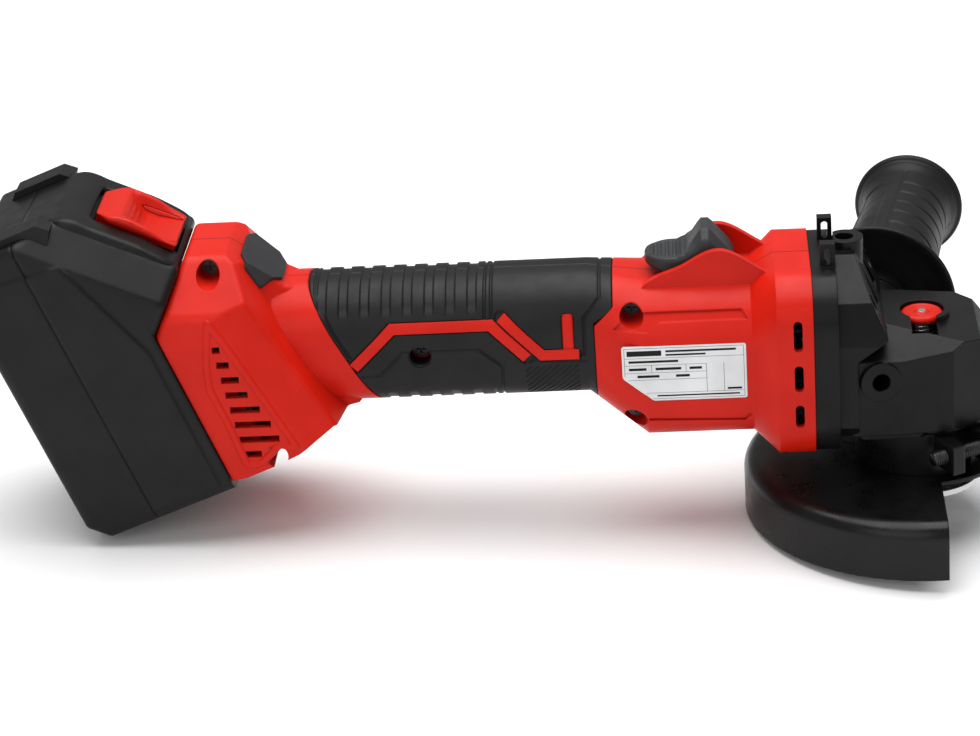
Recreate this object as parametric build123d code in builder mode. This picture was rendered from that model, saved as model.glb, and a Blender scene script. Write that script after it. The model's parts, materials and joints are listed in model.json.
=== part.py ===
"""Cordless 125 mm angle grinder, as an assembly of separate parts.

Frame: +X forward to the gear head, +Y to the side handle, +Z up to the lock button.
The origin is on the spindle axis, where the inner flange's seat meets the disc.
Lengths are millimetres.
"""

import os
from math import cos, pi, radians, sin, sqrt

from build123d import *

os.makedirs("parts", exist_ok=True)

# ---------------------------------------------------------------- driving sizes
# Disc, spindle and guard
disc_diameter = 125.0
disc_clearance = 3.0
guard_sheet = 1.6
guard_corner = 6.0
guard_plate_z = 11.0
guard_rim_z = -10.5
guard_cut_x = 4.5
spindle_thread_radius = 7.0
spindle_shoulder_radius = 7.3
spindle_thread_end = -15.0
pilot_radius = 11.1
pilot_height = 4.0
inner_flange_radius = 21.5
inner_flange_height = 6.0

# Head
motor_z = 57.0
case_bottom_z = 30.0
case_top_rear_z = 70.0
case_top_front_z = 62.5
case_side_z = 58.0
case_half_width = 29.4
case_top_half_width = 13.0
nose_x = 26.5
cavity_radius = 21.0
neck_radius = 22.5
neck_bottom_z = 11.5
cover_plate_z = 28.4
plate_rear_x = -41.0
plate_front_x = -32.0
plate_width = 72.6
plate_height = 69.0
plate_corner = 17.3

# Gears
module = 1.2
pinion_teeth = 9
crown_teeth = 31
tooth_face = 5.0

# Handle sockets
socket_radius = 3.4
stud_radius = 4.0
stud_clearance = 0.05
socket_depth = 13.0
socket_x = -16.8
socket_z = 52.0
socket_boss_radius = 7.5
socket_face_y = 31.0
handle_lean = 11.0
top_socket_x = -28.0
top_socket_z = 97.4
top_boss_radius = 6.5

# Housing
wall = 2.6
flange_width = 74.0
flange_height = 70.4
flange_corner = 18.0
flange_length = 13.0
barrel_front_x = -63.0
barrel_width = 58.0
barrel_height = 61.0
barrel_corner = 22.0
taper_front_x = -102.0
taper_rear_x = -123.0
grip_width = 43.5
grip_height = 48.0
grip_corner = 19.0
grip_z = 66.6
grip_rear_x = -238.0
rubber = 2.2
fit_gap = 0.05
rear_half_width = 36.0
rear_top_z = 106.5
screw_head_radius = 3.1
screw_shank_radius = 1.75
counterbore_radius = 4.3
screw_boss_radius = 5.6
screw_seat_y = -12.0
screw_tip_y = 11.0

# Motor
shaft_radius = 4.0
stator_radius = 24.0
stator_bore = 13.6
stator_front_x = -67.0
stator_rear_x = -97.0
rotor_radius = 13.0
fan_radius = 31.5
fan_rear_x = -55.0
fan_front_x = -45.0
motor_bearing_radius = 11.0
motor_bearing_width = 7.0
rear_bearing_radius = 8.0
rear_bearing_width = 5.0
rear_bearing_x = -108.0

# Slide switch and lock button
switch_travel = 8.0
lock_travel = 3.0
button_radius = 7.8
button_top_z = 67.1
collar_top_z = 67.4
slide_gap = 0.3

# Battery pack
pack_tilt = 21.0
pack_corner_x = -309.5
pack_corner_z = 0.5
pack_length = 118.0
pack_depth = 58.7
pack_half_width = 37.5
pack_wall = 2.5
pack_round = 3.0
foot_gap = 0.3
tongue_neck = 17.0
tongue_head = 22.0
tongue_depth = 11.3
cell_radius = 9.1
cell_length = 65.0
latch_travel = 3.0

# Side handle
dish_radius = 30.5
dish_distance = 15.0
grip_end_radius = 22.0
handle_grip_radius = 16.5
handle_length = 118.0

# ---------------------------------------------------------------- derived frames
motor_axis = Axis((0, 0, motor_z), (1, 0, 0))
guard_radius = disc_diameter / 2 + disc_clearance + guard_sheet
tilt = radians(pack_tilt)
pack_v = Vector(cos(tilt), 0, sin(tilt))
pack_u = Vector(-sin(tilt), 0, cos(tilt))
pack_origin = Vector(pack_corner_x, 0, pack_corner_z)
pack_side = Plane(origin=pack_origin, x_dir=pack_v, z_dir=(0, -1, 0))
foot_t = pack_depth + foot_gap
lean = radians(handle_lean)
handle_dir = Vector(sin(lean), cos(lean), 0)
handle_start = Vector(socket_x, socket_face_y, socket_z)
handle_plane = Plane(origin=handle_start, x_dir=(0, 0, 1), z_dir=(-cos(lean), sin(lean), 0))
handle_axis = Axis(handle_start, handle_dir)


# ---------------------------------------------------------------- shared helpers
def save(piece, name):
    """Labels a finished piece and writes its STEP file."""
    piece.part.label = name
    export_step(piece.part, f"parts/{name}.step")


def outline(points, plane):
    """A closed straight-sided outline as a face on a plane."""
    with BuildSketch(plane) as view:
        with BuildLine():
            Polyline(*points, close=True)
        make_face()
    return view.sketch


def turned(points, plane, axis, mode=Mode.ADD):
    """Turns a closed outline about an axis into the open part."""
    revolve(outline(points, plane), axis=axis, mode=mode)


def on_spindle(*points, mode=Mode.ADD):
    """Turns (radius, z) points about the spindle axis."""
    turned(points, Plane.XZ, Axis.Z, mode)


def on_motor(*points, mode=Mode.ADD):
    """Turns (x, radius) points about the motor axis."""
    turned(points, Plane(origin=(0, 0, motor_z), x_dir=(1, 0, 0), z_dir=(0, -1, 0)), motor_axis, mode)


def on_handle(*points, mode=Mode.ADD):
    """Turns (radius, distance along the handle) points about the handle axis."""
    turned(points, handle_plane, handle_axis, mode)


def side_prism(points, half_width, mode=Mode.ADD, plane=Plane.XZ):
    """Extrudes a side view outline equally to both sides of the middle plane."""
    extrude(outline(points, plane), amount=half_width, both=True, mode=mode)


def side_bars(places, radius, low_y, high_y, mode=Mode.ADD):
    """Round bars along Y at (x, z) places."""
    with BuildSketch(Plane.XZ.offset(-high_y)) as ends:
        with Locations(*places):
            Circle(radius)
    extrude(ends.sketch, amount=high_y - low_y, mode=mode)


def slab(low, high, mode=Mode.ADD):
    """A block between two corners."""
    size = [h - l for l, h in zip(low, high)]
    middle = [(h + l) / 2 for l, h in zip(low, high)]
    with Locations(tuple(middle)):
        Box(*size, mode=mode)


def section(x, width, height, corner, z, inset=0.0):
    """A rounded rectangle across the tool at x, inset all round."""
    with BuildSketch(Plane.YZ.offset(x)) as view:
        with Locations((0, z)):
            RectangleRounded(width - 2 * inset, height - 2 * inset, corner - inset)
    return view.sketch


def in_pack(t, s):
    """The (x, z) of a point t across and s along the battery pack's side."""
    return (pack_corner_x + t * cos(tilt) - s * sin(tilt), pack_corner_z + t * sin(tilt) + s * cos(tilt))


def pack_face(t):
    """A plane across the pack at depth t, facing the tool: x is Y, y is along the pack."""
    return Plane(origin=pack_origin + pack_v * t, x_dir=(0, 1, 0), z_dir=pack_v)


# ---------------------------------------------------------------- housing forms
flange = (flange_width, flange_height, flange_corner, motor_z)
barrel = (barrel_width, barrel_height, barrel_corner, motor_z)
grip = (grip_width, grip_height, grip_corner, grip_z)
flange_rear_x = plate_rear_x - flange_length
barrel_top_z = motor_z + barrel_height / 2
grip_top_z = grip_z + grip_height / 2
grip_bottom_z = grip_z - grip_height / 2
knee_s = 66.0
ridge_rise = 17.3
ridge = in_pack(foot_t + ridge_rise, knee_s + ridge_rise)
top_overrun = 1.0
ridge_more = (rear_top_z + top_overrun - ridge[1]) / sin(tilt + pi / 4)
ridge_top = (ridge[0] + ridge_more * cos(tilt + pi / 4), rear_top_z + top_overrun)
slope_top = (-250.5, 104.8)
slope_foot = (-233.8, grip_top_z + 0.6)
rear_side = [
    in_pack(foot_t, 3.0),
    in_pack(foot_t, knee_s),
    ridge_top,
    (-254.5, rear_top_z + top_overrun),
    slope_top,
    slope_foot,
    (-226.0, grip_top_z - 2.0),
    (-204.0, grip_bottom_z + 6.0),
    (-209.0, grip_bottom_z + 1.0),
    (-217.0, grip_bottom_z + 0.6),
    (-223.5, 38.8),
    (-230.0, 34.2),
    (-239.3, 29.8),
    (-250.0, 25.5),
]
# The block narrows forwards at a crease that leans with the rubber's edge. Its outline
# across the crease is given as (distance along the crease plane's normal, half width).
crease_normal = Vector(0.863, 0, 0.505).normalized()
crease_dir = Vector(0.505, 0, -0.863).normalized()
crease_plane = Plane(origin=(0, 0, 0), x_dir=crease_normal, z_dir=crease_dir)
rear_taper = [(-150.0, 8.0), (-162.0, 14.0), (-164.5, 31.5), (-191.5, 40.5), (-300.0, 40.5)]
rear_bevel = 18.5
rear_cross = [
    (rear_half_width, 0.0),
    (rear_half_width, rear_top_z - rear_bevel + 1.0),
    (rear_half_width - rear_bevel, rear_top_z),
]
crease_round = 2.5
bevel_round = 7.0
top_round = 2.5


def mirrored(points):
    """Closes a half outline with its mirror image across the first coordinate."""
    return points + [(-y, z) for y, z in reversed(points)]


def tool_form(inset, grip_inset):
    """The flange, flare, barrel and grip as one solid, inset by a wall where asked."""
    with BuildPart() as form:
        extrude(section(plate_rear_x, *flange, inset), amount=-flange_length)
        loft([section(flange_rear_x, *flange, inset), section(barrel_front_x, *barrel, inset)])
        extrude(section(barrel_front_x, *barrel, inset), amount=taper_front_x - barrel_front_x)
        loft([section(taper_front_x, *barrel, inset), section(taper_rear_x, *grip, grip_inset)])
        extrude(section(taper_rear_x, *grip, grip_inset), amount=grip_rear_x - taper_rear_x)
    return form.part


def rear_form(inset):
    """The rear block that carries the pack: a side view crossed with its taper and its section."""
    taper = rear_taper + [(n, -y) for n, y in reversed(rear_taper)]
    with BuildPart() as form:
        for points, plane, reach, rounding in (
            (rear_side, Plane.XZ, 80.0, 0.0),
            (taper, crease_plane, 400.0, crease_round),
            (mirrored(rear_cross), Plane.YZ, 320.0, bevel_round),
        ):
            with BuildSketch(plane) as view:
                with BuildLine():
                    Polyline(*points, close=True)
                make_face()
                if inset:
                    offset(amount=-inset, kind=Kind.INTERSECTION)
                if rounding:
                    fillet(view.vertices(), radius=rounding)
            extrude(amount=reach, both=True, mode=Mode.INTERSECT if rounding else Mode.ADD)
    return form.part


with BuildPart() as rear_block:
    add(rear_form(0.0))
    upper_edges = [
        edge
        for edge in rear_block.edges()
        if edge.center().Z > 86.0 and (abs(edge.center().Y) < 30.0 or edge.center().X < -262.0)
    ]
    fillet(upper_edges, radius=top_round)

with BuildPart() as housing_form:
    add(tool_form(0.0, 0.0))
    add(rear_block.part)

with BuildPart() as housing_hollow:
    add(tool_form(wall, rubber + wall))
    add(rear_form(wall))

# The rubber lies over a core; its edges are a slanted line behind and a stepped line in front.
rubber_edge = [
    (-226.3, 110.0),
    (-226.3, 92.5),
    (-200.0, 43.5),
    (-190.0, 20.0),
    (-120.0, 20.0),
    (-120.0, 74.8),
    (-113.0, 81.5),
    (-113.0, 110.0),
]
inlay_width = 4.0
inlays = (
    [(-209.0, 61.5), (-194.1, 76.2), (-157.9, 76.3), (-145.2, 63.1)],
    [(-154.0, 79.0), (-139.5, 63.9), (-126.0, 63.9)],
)

with BuildPart() as rubber_zone:
    side_prism(rubber_edge, 60.0)
    extrude(
        section(taper_front_x + 5.0, *grip, rubber), amount=grip_rear_x - taper_front_x, mode=Mode.SUBTRACT
    )


def inlay_bars(width):
    """The inlay lines as bars right across the grip."""
    with BuildPart() as bars:
        for line in inlays:
            with BuildSketch(Plane.XZ):
                with BuildLine():
                    Polyline(*line)
                trace(line_width=width)
            extrude(amount=60.0, both=True)
    return bars.part


with BuildPart() as grip_layer:
    add(housing_form.part)
    add(rubber_zone.part, mode=Mode.INTERSECT)

with BuildPart() as grip_inlays:
    add(grip_layer.part)
    add(inlay_bars(inlay_width), mode=Mode.INTERSECT)

# Five screws join the housing halves; each sits at the bottom of a counterbore.
screw_places = [(-258.9, 101.2), (-238.4, 33.8), (-184.3, 65.2), (-106.3, 78.5), (-106.3, 38.0)]

rib_pitch = 7.8
rib_count = 9
rib_groove = 1.1
rib_depth = 0.9
rib_front_x = -159.0
rib_low_z = 79.0

with BuildPart() as grip_cover:
    add(grip_layer.part)
    add(inlay_bars(inlay_width + 2 * fit_gap), mode=Mode.SUBTRACT)
    side_bars(screw_places, counterbore_radius, -60.0, 0.0, Mode.SUBTRACT)
    for index in range(rib_count):
        groove_x = rib_front_x - index * rib_pitch
        with BuildSketch(Plane.YZ.offset(groove_x)):
            with Locations((0, grip_z)):
                Rectangle(grip_width + 10, grip_height + 10)
                RectangleRounded(
                    grip_width - 2 * rib_depth,
                    grip_height - 2 * rib_depth,
                    grip_corner - rib_depth,
                    mode=Mode.SUBTRACT,
                )
            with Locations((0, rib_low_z - 50)):
                Rectangle(100, 100, mode=Mode.SUBTRACT)
        extrude(amount=rib_groove, mode=Mode.SUBTRACT)

# ---------------------------------------------------------------- battery foot
channel_start_s = 7.6
channel_gap = 0.3
tongue_start_s = 8.0
tongue_end_s = 62.0
neck_t = pack_depth + 5.0
blade_t = pack_depth + 7.5
blade_places = [-12.0, -4.0, 4.0, 12.0]
terminal_height = 3.6


def tongue(gap, start_s, end_s, start_t):
    """The T-shaped rail on the pack, or with a gap the channel it slides in."""
    with BuildPart() as rail:
        for half, low_t, high_t in (
            (tongue_neck + gap, start_t, neck_t + gap),
            (tongue_head + gap, neck_t - gap, pack_depth + tongue_depth + gap),
        ):
            with BuildSketch(pack_face(low_t)):
                with Locations((0, (start_s + end_s) / 2)):
                    Rectangle(2 * half, end_s - start_s)
            extrude(amount=high_t - low_t)
    return rail.part


foot_back_t = pack_depth + tongue_depth + 3.0
with BuildPart() as foot_block:
    add(housing_form.part)
    side_prism(
        [
            in_pack(foot_t - 5, 0),
            in_pack(foot_back_t, 0),
            in_pack(foot_back_t, pack_length),
            in_pack(foot_t - 5, pack_length),
        ],
        tongue_head + 3.5,
        Mode.INTERSECT,
    )

# ---------------------------------------------------------------- housing halves
front_rim = 3.2
link_low_z = motor_z + stator_radius + 1.0
stem_rear_x = -86.0
stem_length = 9.0
stem_half_width = 4.0
shield_y = 12.0
shield_thickness = 3.0
shield_line = [
    (-104.0, 84.0),
    (-97.0, 90.0),
    (-88.0, 93.5),
    (-80.0, 98.0),
    (-74.0, 99.5),
    (-67.0, 97.0),
    (-57.0, 90.5),
]
saddles_x = (-76.0, -94.0)
saddle_width = 3.0
slot_x = -46.6
slot_width = 3.2
slots = ((73.8, 11.5), (57.4, 10.2), (42.5, 8.8))
plate_screw_places = [(-22.5, 79.0), (22.5, 79.0), (-24.0, 34.5), (24.0, 34.5)]
plate_screw_radius = 2.0
rating_low = (-110.4, 47.2)
rating_high = (-65.3, 69.0)
rating_y = -barrel_width / 2 + 0.7
rating_thickness = 0.4
rating_outline = [
    (rating_low[0], rating_high[1]),
    rating_high,
    (rating_high[0], rating_low[1]),
    (rating_low[0] + 11.0, rating_low[1]),
    (rating_low[0], rating_low[1] + 9.2),
]
louvre_height = 2.6
louvre_low_z = 35.0
louvre_pitch = 6.0
louvre_ends = [
    (-250.2, -243.8),
    (-251.4, -236.8),
    (-252.6, -239.4),
    (-253.8, -242.9),
    (-254.9, -246.8),
    (-256.0, -249.5),
    (-257.1, -252.6),
    (-258.2, -255.4),
]
# shallow channels along the motor housing, above and below the plate
channel_depth = 0.75
channels = [
    [
        (-102.5, 80.1),
        (-66.4, 80.1),
        (-64.2, 77.0),
        (-96.7, 76.8),
        (-100.6, 73.6),
        (-113.3, 74.0),
        (-111.1, 76.2),
    ],
    [(-101.7, 38.4), (-66.2, 36.9), (-63.9, 39.6), (-64.6, 40.4), (-66.6, 38.2), (-101.2, 39.7)],
]


def terminal_box(gap, mode=Mode.ADD):
    """The block that carries the blades, below the end of the channel."""
    with BuildSketch(pack_face(blade_t - 4.0 - gap)) as view:
        with Locations((0, channel_start_s - terminal_height / 2)):
            Rectangle(2 * (16.0 + gap), terminal_height + 2 * gap)
    extrude(view.sketch, amount=8.0 + 2 * gap, mode=mode)


with BuildPart() as screw_bosses:
    side_bars(screw_places, screw_boss_radius, -60.0, 60.0)
    add(housing_form.part, mode=Mode.INTERSECT)

with BuildPart() as bulkhead:
    add(tool_form(wall - 0.4, rubber + wall - 0.4))
    slab((rear_bearing_x, -60, 0), (rear_bearing_x + rear_bearing_width, 60, 120), Mode.INTERSECT)
    on_motor(
        (rear_bearing_x - 2, 0),
        (rear_bearing_x - 2, rear_bearing_radius + fit_gap),
        (rear_bearing_x + rear_bearing_width + 2, rear_bearing_radius + fit_gap),
        (rear_bearing_x + rear_bearing_width + 2, 0),
        mode=Mode.SUBTRACT,
    )
    with BuildSketch(Plane.YZ.offset(rear_bearing_x - 2)):
        with Locations((0, motor_z)):
            with PolarLocations(16.0, 2, 0):
                Circle(4.5)
    extrude(amount=rear_bearing_width + 4, mode=Mode.SUBTRACT)

with BuildPart() as side_channels:
    for channel in channels:
        side_prism(channel, 60.0)
    add(tool_form(channel_depth, channel_depth), mode=Mode.SUBTRACT)

with BuildPart() as housing_shell:
    add(housing_form.part)
    # shields beside the slide switch
    for side in (-1, 1):
        with BuildSketch(Plane.XZ.offset(-side * (shield_y + shield_thickness / 2) - shield_thickness / 2)):
            with BuildLine():
                top = Spline(*shield_line)
                Polyline(top @ 1, (shield_line[-1][0], 83.5), (shield_line[0][0], 83.5), top @ 0)
            make_face()
        extrude(amount=shield_thickness)
    add(housing_hollow.part, mode=Mode.SUBTRACT)
    # front rim that takes the gear case screws
    extrude(section(plate_rear_x, *flange, wall - 0.2), amount=-front_rim)
    on_motor(
        (plate_rear_x - front_rim - 1, 0),
        (plate_rear_x - front_rim - 1, fan_radius - 4.5),
        (plate_rear_x + 1, fan_radius - 4.5),
        (plate_rear_x + 1, 0),
        mode=Mode.SUBTRACT,
    )
    with BuildSketch(Plane.YZ.offset(plate_rear_x + 1)):
        with Locations(*plate_screw_places):
            Circle(plate_screw_radius + 0.02)
    extrude(amount=-front_rim - 2, mode=Mode.SUBTRACT)
    # saddles that hold the stator
    for saddle_x in saddles_x:
        extrude(section(saddle_x, *barrel, wall - 0.2), amount=saddle_width)
    on_motor(
        (stator_rear_x - 0.3, 0),
        (stator_rear_x - 0.3, stator_radius + fit_gap),
        (stator_front_x + 0.3, stator_radius + fit_gap),
        (stator_front_x + 0.3, 0),
        mode=Mode.SUBTRACT,
    )
    add(bulkhead.part)
    # battery foot, its channel and the screw bosses
    add(foot_block.part)
    add(screw_bosses.part)
    add(tongue(channel_gap, channel_start_s, 130.0, foot_t - 3), mode=Mode.SUBTRACT)
    # pocket for the terminal block at the foot of the channel
    terminal_box(fit_gap, Mode.SUBTRACT)
    # clear way for the switch link and the slider's stem
    slab((taper_rear_x, -4.6, link_low_z - 0.3), (-66.0, 4.6, barrel_top_z - wall), Mode.SUBTRACT)
    slab(
        (stem_rear_x - slide_gap, -stem_half_width - slide_gap, link_low_z - 0.3),
        (
            stem_rear_x + stem_length + switch_travel + slide_gap,
            stem_half_width + slide_gap,
            barrel_top_z + 1,
        ),
        Mode.SUBTRACT,
    )
    # rubber seat
    add(grip_layer.part, mode=Mode.SUBTRACT)
    # counterbores, screw holes and their threaded ends
    side_bars(screw_places, counterbore_radius, -60.0, screw_seat_y, Mode.SUBTRACT)
    side_bars(screw_places, screw_shank_radius + 0.15, screw_seat_y, 0.0, Mode.SUBTRACT)
    side_bars(screw_places, screw_shank_radius + 0.02, 0.0, screw_tip_y + 1, Mode.SUBTRACT)
    # air slots in the flange
    for slot_z, slot_length in slots:
        with BuildSketch(Plane.XZ.offset(-60)):
            with Locations((slot_x, slot_z)):
                SlotOverall(slot_length, slot_width, rotation=90)
        extrude(amount=120, mode=Mode.SUBTRACT)
    # louvres in the rear block, shorter towards the apex
    for side in (-1, 1):
        with BuildSketch(Plane.XZ.offset(side * (rear_half_width + 1))):
            for index, (rear_x, front_x) in enumerate(louvre_ends):
                with Locations(((rear_x + front_x) / 2, louvre_low_z + index * louvre_pitch)):
                    Rectangle(front_x - rear_x, louvre_height)
        extrude(amount=-side * (wall + 6), mode=Mode.SUBTRACT)
    # channels along the motor housing
    add(side_channels.part, mode=Mode.SUBTRACT)
    # pocket for the rating plate
    extrude(outline(rating_outline, Plane.XZ.offset(-rating_y)), amount=5, mode=Mode.SUBTRACT)

with BuildPart() as right_housing:
    add(housing_shell.part)
    split(bisect_by=Plane.XZ, keep=Keep.TOP)
save(right_housing, "right_housing")

with BuildPart() as left_housing:
    add(housing_shell.part)
    split(bisect_by=Plane.XZ, keep=Keep.BOTTOM)
save(left_housing, "left_housing")

with BuildPart() as right_grip_cover:
    add(grip_cover.part)
    split(bisect_by=Plane.XZ, keep=Keep.TOP)
save(right_grip_cover, "right_grip_cover")

with BuildPart() as left_grip_cover:
    add(grip_cover.part)
    split(bisect_by=Plane.XZ, keep=Keep.BOTTOM)
save(left_grip_cover, "left_grip_cover")

save(grip_inlays, "grip_inlays")

with BuildPart() as housing_screws:
    side_bars(screw_places, screw_head_radius, screw_seat_y - 2.2, screw_seat_y)
    side_bars(screw_places, screw_shank_radius, screw_seat_y, screw_tip_y)
    with BuildSketch(Plane.XZ.offset(2.2 - screw_seat_y)):
        with Locations(*screw_places):
            with PolarLocations(0, 2, 0, 180):
                Rectangle(3.6, 0.8)
            with PolarLocations(0, 1):
                Rectangle(0.8, 3.6)
    extrude(amount=-1.2, mode=Mode.SUBTRACT)
save(housing_screws, "housing_screws")

with BuildPart() as rating_plate:
    extrude(outline(rating_outline, Plane.XZ.offset(-rating_y)), amount=rating_thickness)
    chamfer(rating_plate.edges().filter_by(Axis.Y), length=0.6)
save(rating_plate, "rating_plate")

# A rubber pad straddles the parting line on the rear slope and wraps down beside it.
pad_thickness = 1.2
slope_start = Vector(slope_top[0], 0, slope_top[1])
slope_dir = (Vector(slope_foot[0], 0, slope_foot[1]) - slope_start).normalized()
slope_normal = Vector(-slope_dir.Z, 0, slope_dir.X)
pad_plane = Plane(origin=slope_start - slope_normal * 10.0, x_dir=slope_dir, z_dir=slope_normal)
pad_outline = [(2.6, 9.0), (6.0, 15.5), (14.5, 15.5), (20.5, 7.0)]
with BuildPart() as rear_pad:
    add(rear_form(-pad_thickness))
    extrude(
        outline(pad_outline + [(d, -y) for d, y in reversed(pad_outline)], pad_plane),
        amount=14.0,
        mode=Mode.INTERSECT,
    )
    add(housing_form.part, mode=Mode.SUBTRACT)
save(rear_pad, "rear_pad")

# ---------------------------------------------------------------- motor
plate_web = 1.5
bearing_seat_x = plate_front_x - plate_web
plate = (plate_width, plate_height, plate_corner, motor_z)
ear_y = 13.0
ear_top_z = 100.5
ear_length = 5.4
ear_thickness = 4.0

with BuildPart() as bearing_plate:
    extrude(section(plate_rear_x, *plate), amount=plate_front_x - plate_rear_x)
    # two hanging ears on top
    for side in (-1, 1):
        with BuildSketch(Plane.XZ.offset(-side * ear_y - ear_thickness / 2)):
            with Locations((plate_front_x - ear_length / 2, ear_top_z - 8)):
                Rectangle(ear_length, 16)
            with Locations((plate_front_x - ear_length / 2, ear_top_z - 4.7)):
                SlotOverall(6.4, 2.4, rotation=90, mode=Mode.SUBTRACT)
        extrude(amount=ear_thickness)
    on_motor(
        (plate_rear_x, 0),
        (plate_rear_x, fan_radius + 0.8),
        (plate_rear_x + 2.5, fan_radius - 1.0),
        (plate_rear_x + 2.5, 0),
        mode=Mode.SUBTRACT,
    )
    on_motor(
        (plate_rear_x + 2.5, motor_bearing_radius + 3),
        (plate_rear_x + 0.5, motor_bearing_radius + 3),
        (plate_rear_x + 0.5, motor_bearing_radius - 1),
        (plate_rear_x + 2.5, motor_bearing_radius - 1),
    )
    on_motor(
        (plate_rear_x, 0),
        (plate_rear_x, motor_bearing_radius + fit_gap),
        (bearing_seat_x, motor_bearing_radius + fit_gap),
        (bearing_seat_x, 6.5),
        (plate_front_x + 1, 6.5),
        (plate_front_x + 1, 0),
        mode=Mode.SUBTRACT,
    )
    with BuildSketch(Plane.YZ.offset(plate_rear_x - 1)):
        with Locations(*plate_screw_places):
            Circle(plate_screw_radius + 0.15)
    extrude(amount=20, mode=Mode.SUBTRACT)
save(bearing_plate, "bearing_plate")


def bearing_outer(front_x, width, radius):
    """A sealed bearing's outer ring with its shields, as (x, radius) points."""
    rear_x = front_x - width
    on_motor(
        (rear_x, shaft_radius + 1.9),
        (rear_x, radius),
        (front_x, radius),
        (front_x, shaft_radius + 1.9),
        (front_x - 0.8, shaft_radius + 1.9),
        (front_x - 0.8, shaft_radius + 3.0),
        (rear_x + 0.8, shaft_radius + 3.0),
        (rear_x + 0.8, shaft_radius + 1.9),
    )


def bearing_inner(front_x, width):
    """The matching inner ring."""
    on_motor(
        (front_x - width, shaft_radius),
        (front_x - width, shaft_radius + 1.8),
        (front_x, shaft_radius + 1.8),
        (front_x, shaft_radius),
    )


with BuildPart() as front_motor_bearing:
    bearing_outer(bearing_seat_x, motor_bearing_width, motor_bearing_radius)
save(front_motor_bearing, "front_motor_bearing")

with BuildPart() as rear_motor_bearing:
    bearing_outer(rear_bearing_x + rear_bearing_width, rear_bearing_width, rear_bearing_radius)
save(rear_motor_bearing, "rear_motor_bearing")

with BuildPart() as front_bearing_inner:
    bearing_inner(bearing_seat_x, motor_bearing_width)
save(front_bearing_inner, "front_bearing_inner")

with BuildPart() as rear_bearing_inner:
    bearing_inner(rear_bearing_x + rear_bearing_width, rear_bearing_width)
save(rear_bearing_inner, "rear_bearing_inner")

stator_slots = 12
slot_inner_radius = 15.0
slot_outer_radius = 20.5
tooth_width = 4.2
end_turns = 4.0


def stator_slots_sketch(gap):
    """The winding slots between the stator's teeth, inset by a gap."""
    with BuildSketch(Plane.YZ.offset(stator_rear_x)) as view:
        with Locations((0, motor_z)):
            Circle(slot_outer_radius - gap)
            Circle(slot_inner_radius + gap, mode=Mode.SUBTRACT)
            with PolarLocations(0, stator_slots):
                Rectangle(3 * stator_radius, tooth_width + 2 * gap, mode=Mode.SUBTRACT)
    return view.sketch


stator_length = stator_front_x - stator_rear_x
with BuildPart() as stator_core:
    on_motor(
        (stator_rear_x, stator_bore),
        (stator_rear_x, stator_radius),
        (stator_front_x, stator_radius),
        (stator_front_x, stator_bore),
    )
    extrude(stator_slots_sketch(0), amount=stator_length, mode=Mode.SUBTRACT)
save(stator_core, "stator_core")

with BuildPart() as stator_windings:
    extrude(stator_slots_sketch(0.1), amount=stator_length)
    for low_x in (stator_rear_x - end_turns, stator_front_x):
        high_x = low_x + end_turns
        on_motor(
            (low_x, slot_inner_radius + 0.1),
            (low_x + 0.6 * end_turns, slot_outer_radius + 1.5),
            (high_x, slot_outer_radius + 1.5),
            (high_x, slot_inner_radius + 0.1),
        )
save(stator_windings, "stator_windings")

baffle_x = -59.8
baffle_bore = 17.0
with BuildPart() as air_baffle:
    add(tool_form(wall + 0.1, rubber + wall))
    slab((baffle_x, -60, 0), (baffle_x + 1.6, 60, 120), Mode.INTERSECT)
    on_motor(
        (baffle_x - 1, 0),
        (baffle_x - 1, baffle_bore),
        (baffle_x + 3, baffle_bore),
        (baffle_x + 3, 0),
        mode=Mode.SUBTRACT,
    )
save(air_baffle, "air_baffle")

# rotor group
crown_pitch = module * crown_teeth / 2
pinion_pitch = module * pinion_teeth / 2
cone_outer = sqrt(crown_pitch**2 + pinion_pitch**2)
cone_inner = cone_outer - tooth_face
crown_sin = crown_pitch / cone_outer
crown_cos = pinion_pitch / cone_outer
addendum = 1.15
dedendum = 1.4
apex = Vector(0, 0, motor_z)
pinion_back_x = -crown_pitch - 0.8
hub_front_x = pinion_back_x - 1.5
hub_rear_x = plate_front_x + 2.0

with BuildPart() as rotor_shaft:
    on_motor(
        (rear_bearing_x, 0),
        (rear_bearing_x, shaft_radius),
        (hub_front_x, shaft_radius),
        (hub_front_x, 0),
    )
save(rotor_shaft, "rotor_shaft")

with BuildPart() as rotor_core:
    on_motor(
        (stator_rear_x + 1, shaft_radius),
        (stator_rear_x + 1, rotor_radius),
        (stator_front_x - 1, rotor_radius),
        (stator_front_x - 1, shaft_radius),
    )
    with BuildSketch(Plane.YZ.offset(stator_rear_x)):
        with Locations((0, motor_z)):
            with PolarLocations(9.4, 4):
                Rectangle(2.2, 11.0)
    extrude(amount=stator_length, mode=Mode.SUBTRACT)
save(rotor_core, "rotor_core")

with BuildPart() as rotor_magnets:
    with BuildSketch(Plane.YZ.offset(stator_rear_x + 1.5)):
        with Locations((0, motor_z)):
            with PolarLocations(9.4, 4):
                Rectangle(2.1, 10.9)
    extrude(amount=stator_length - 3)
save(rotor_magnets, "rotor_magnets")

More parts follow.
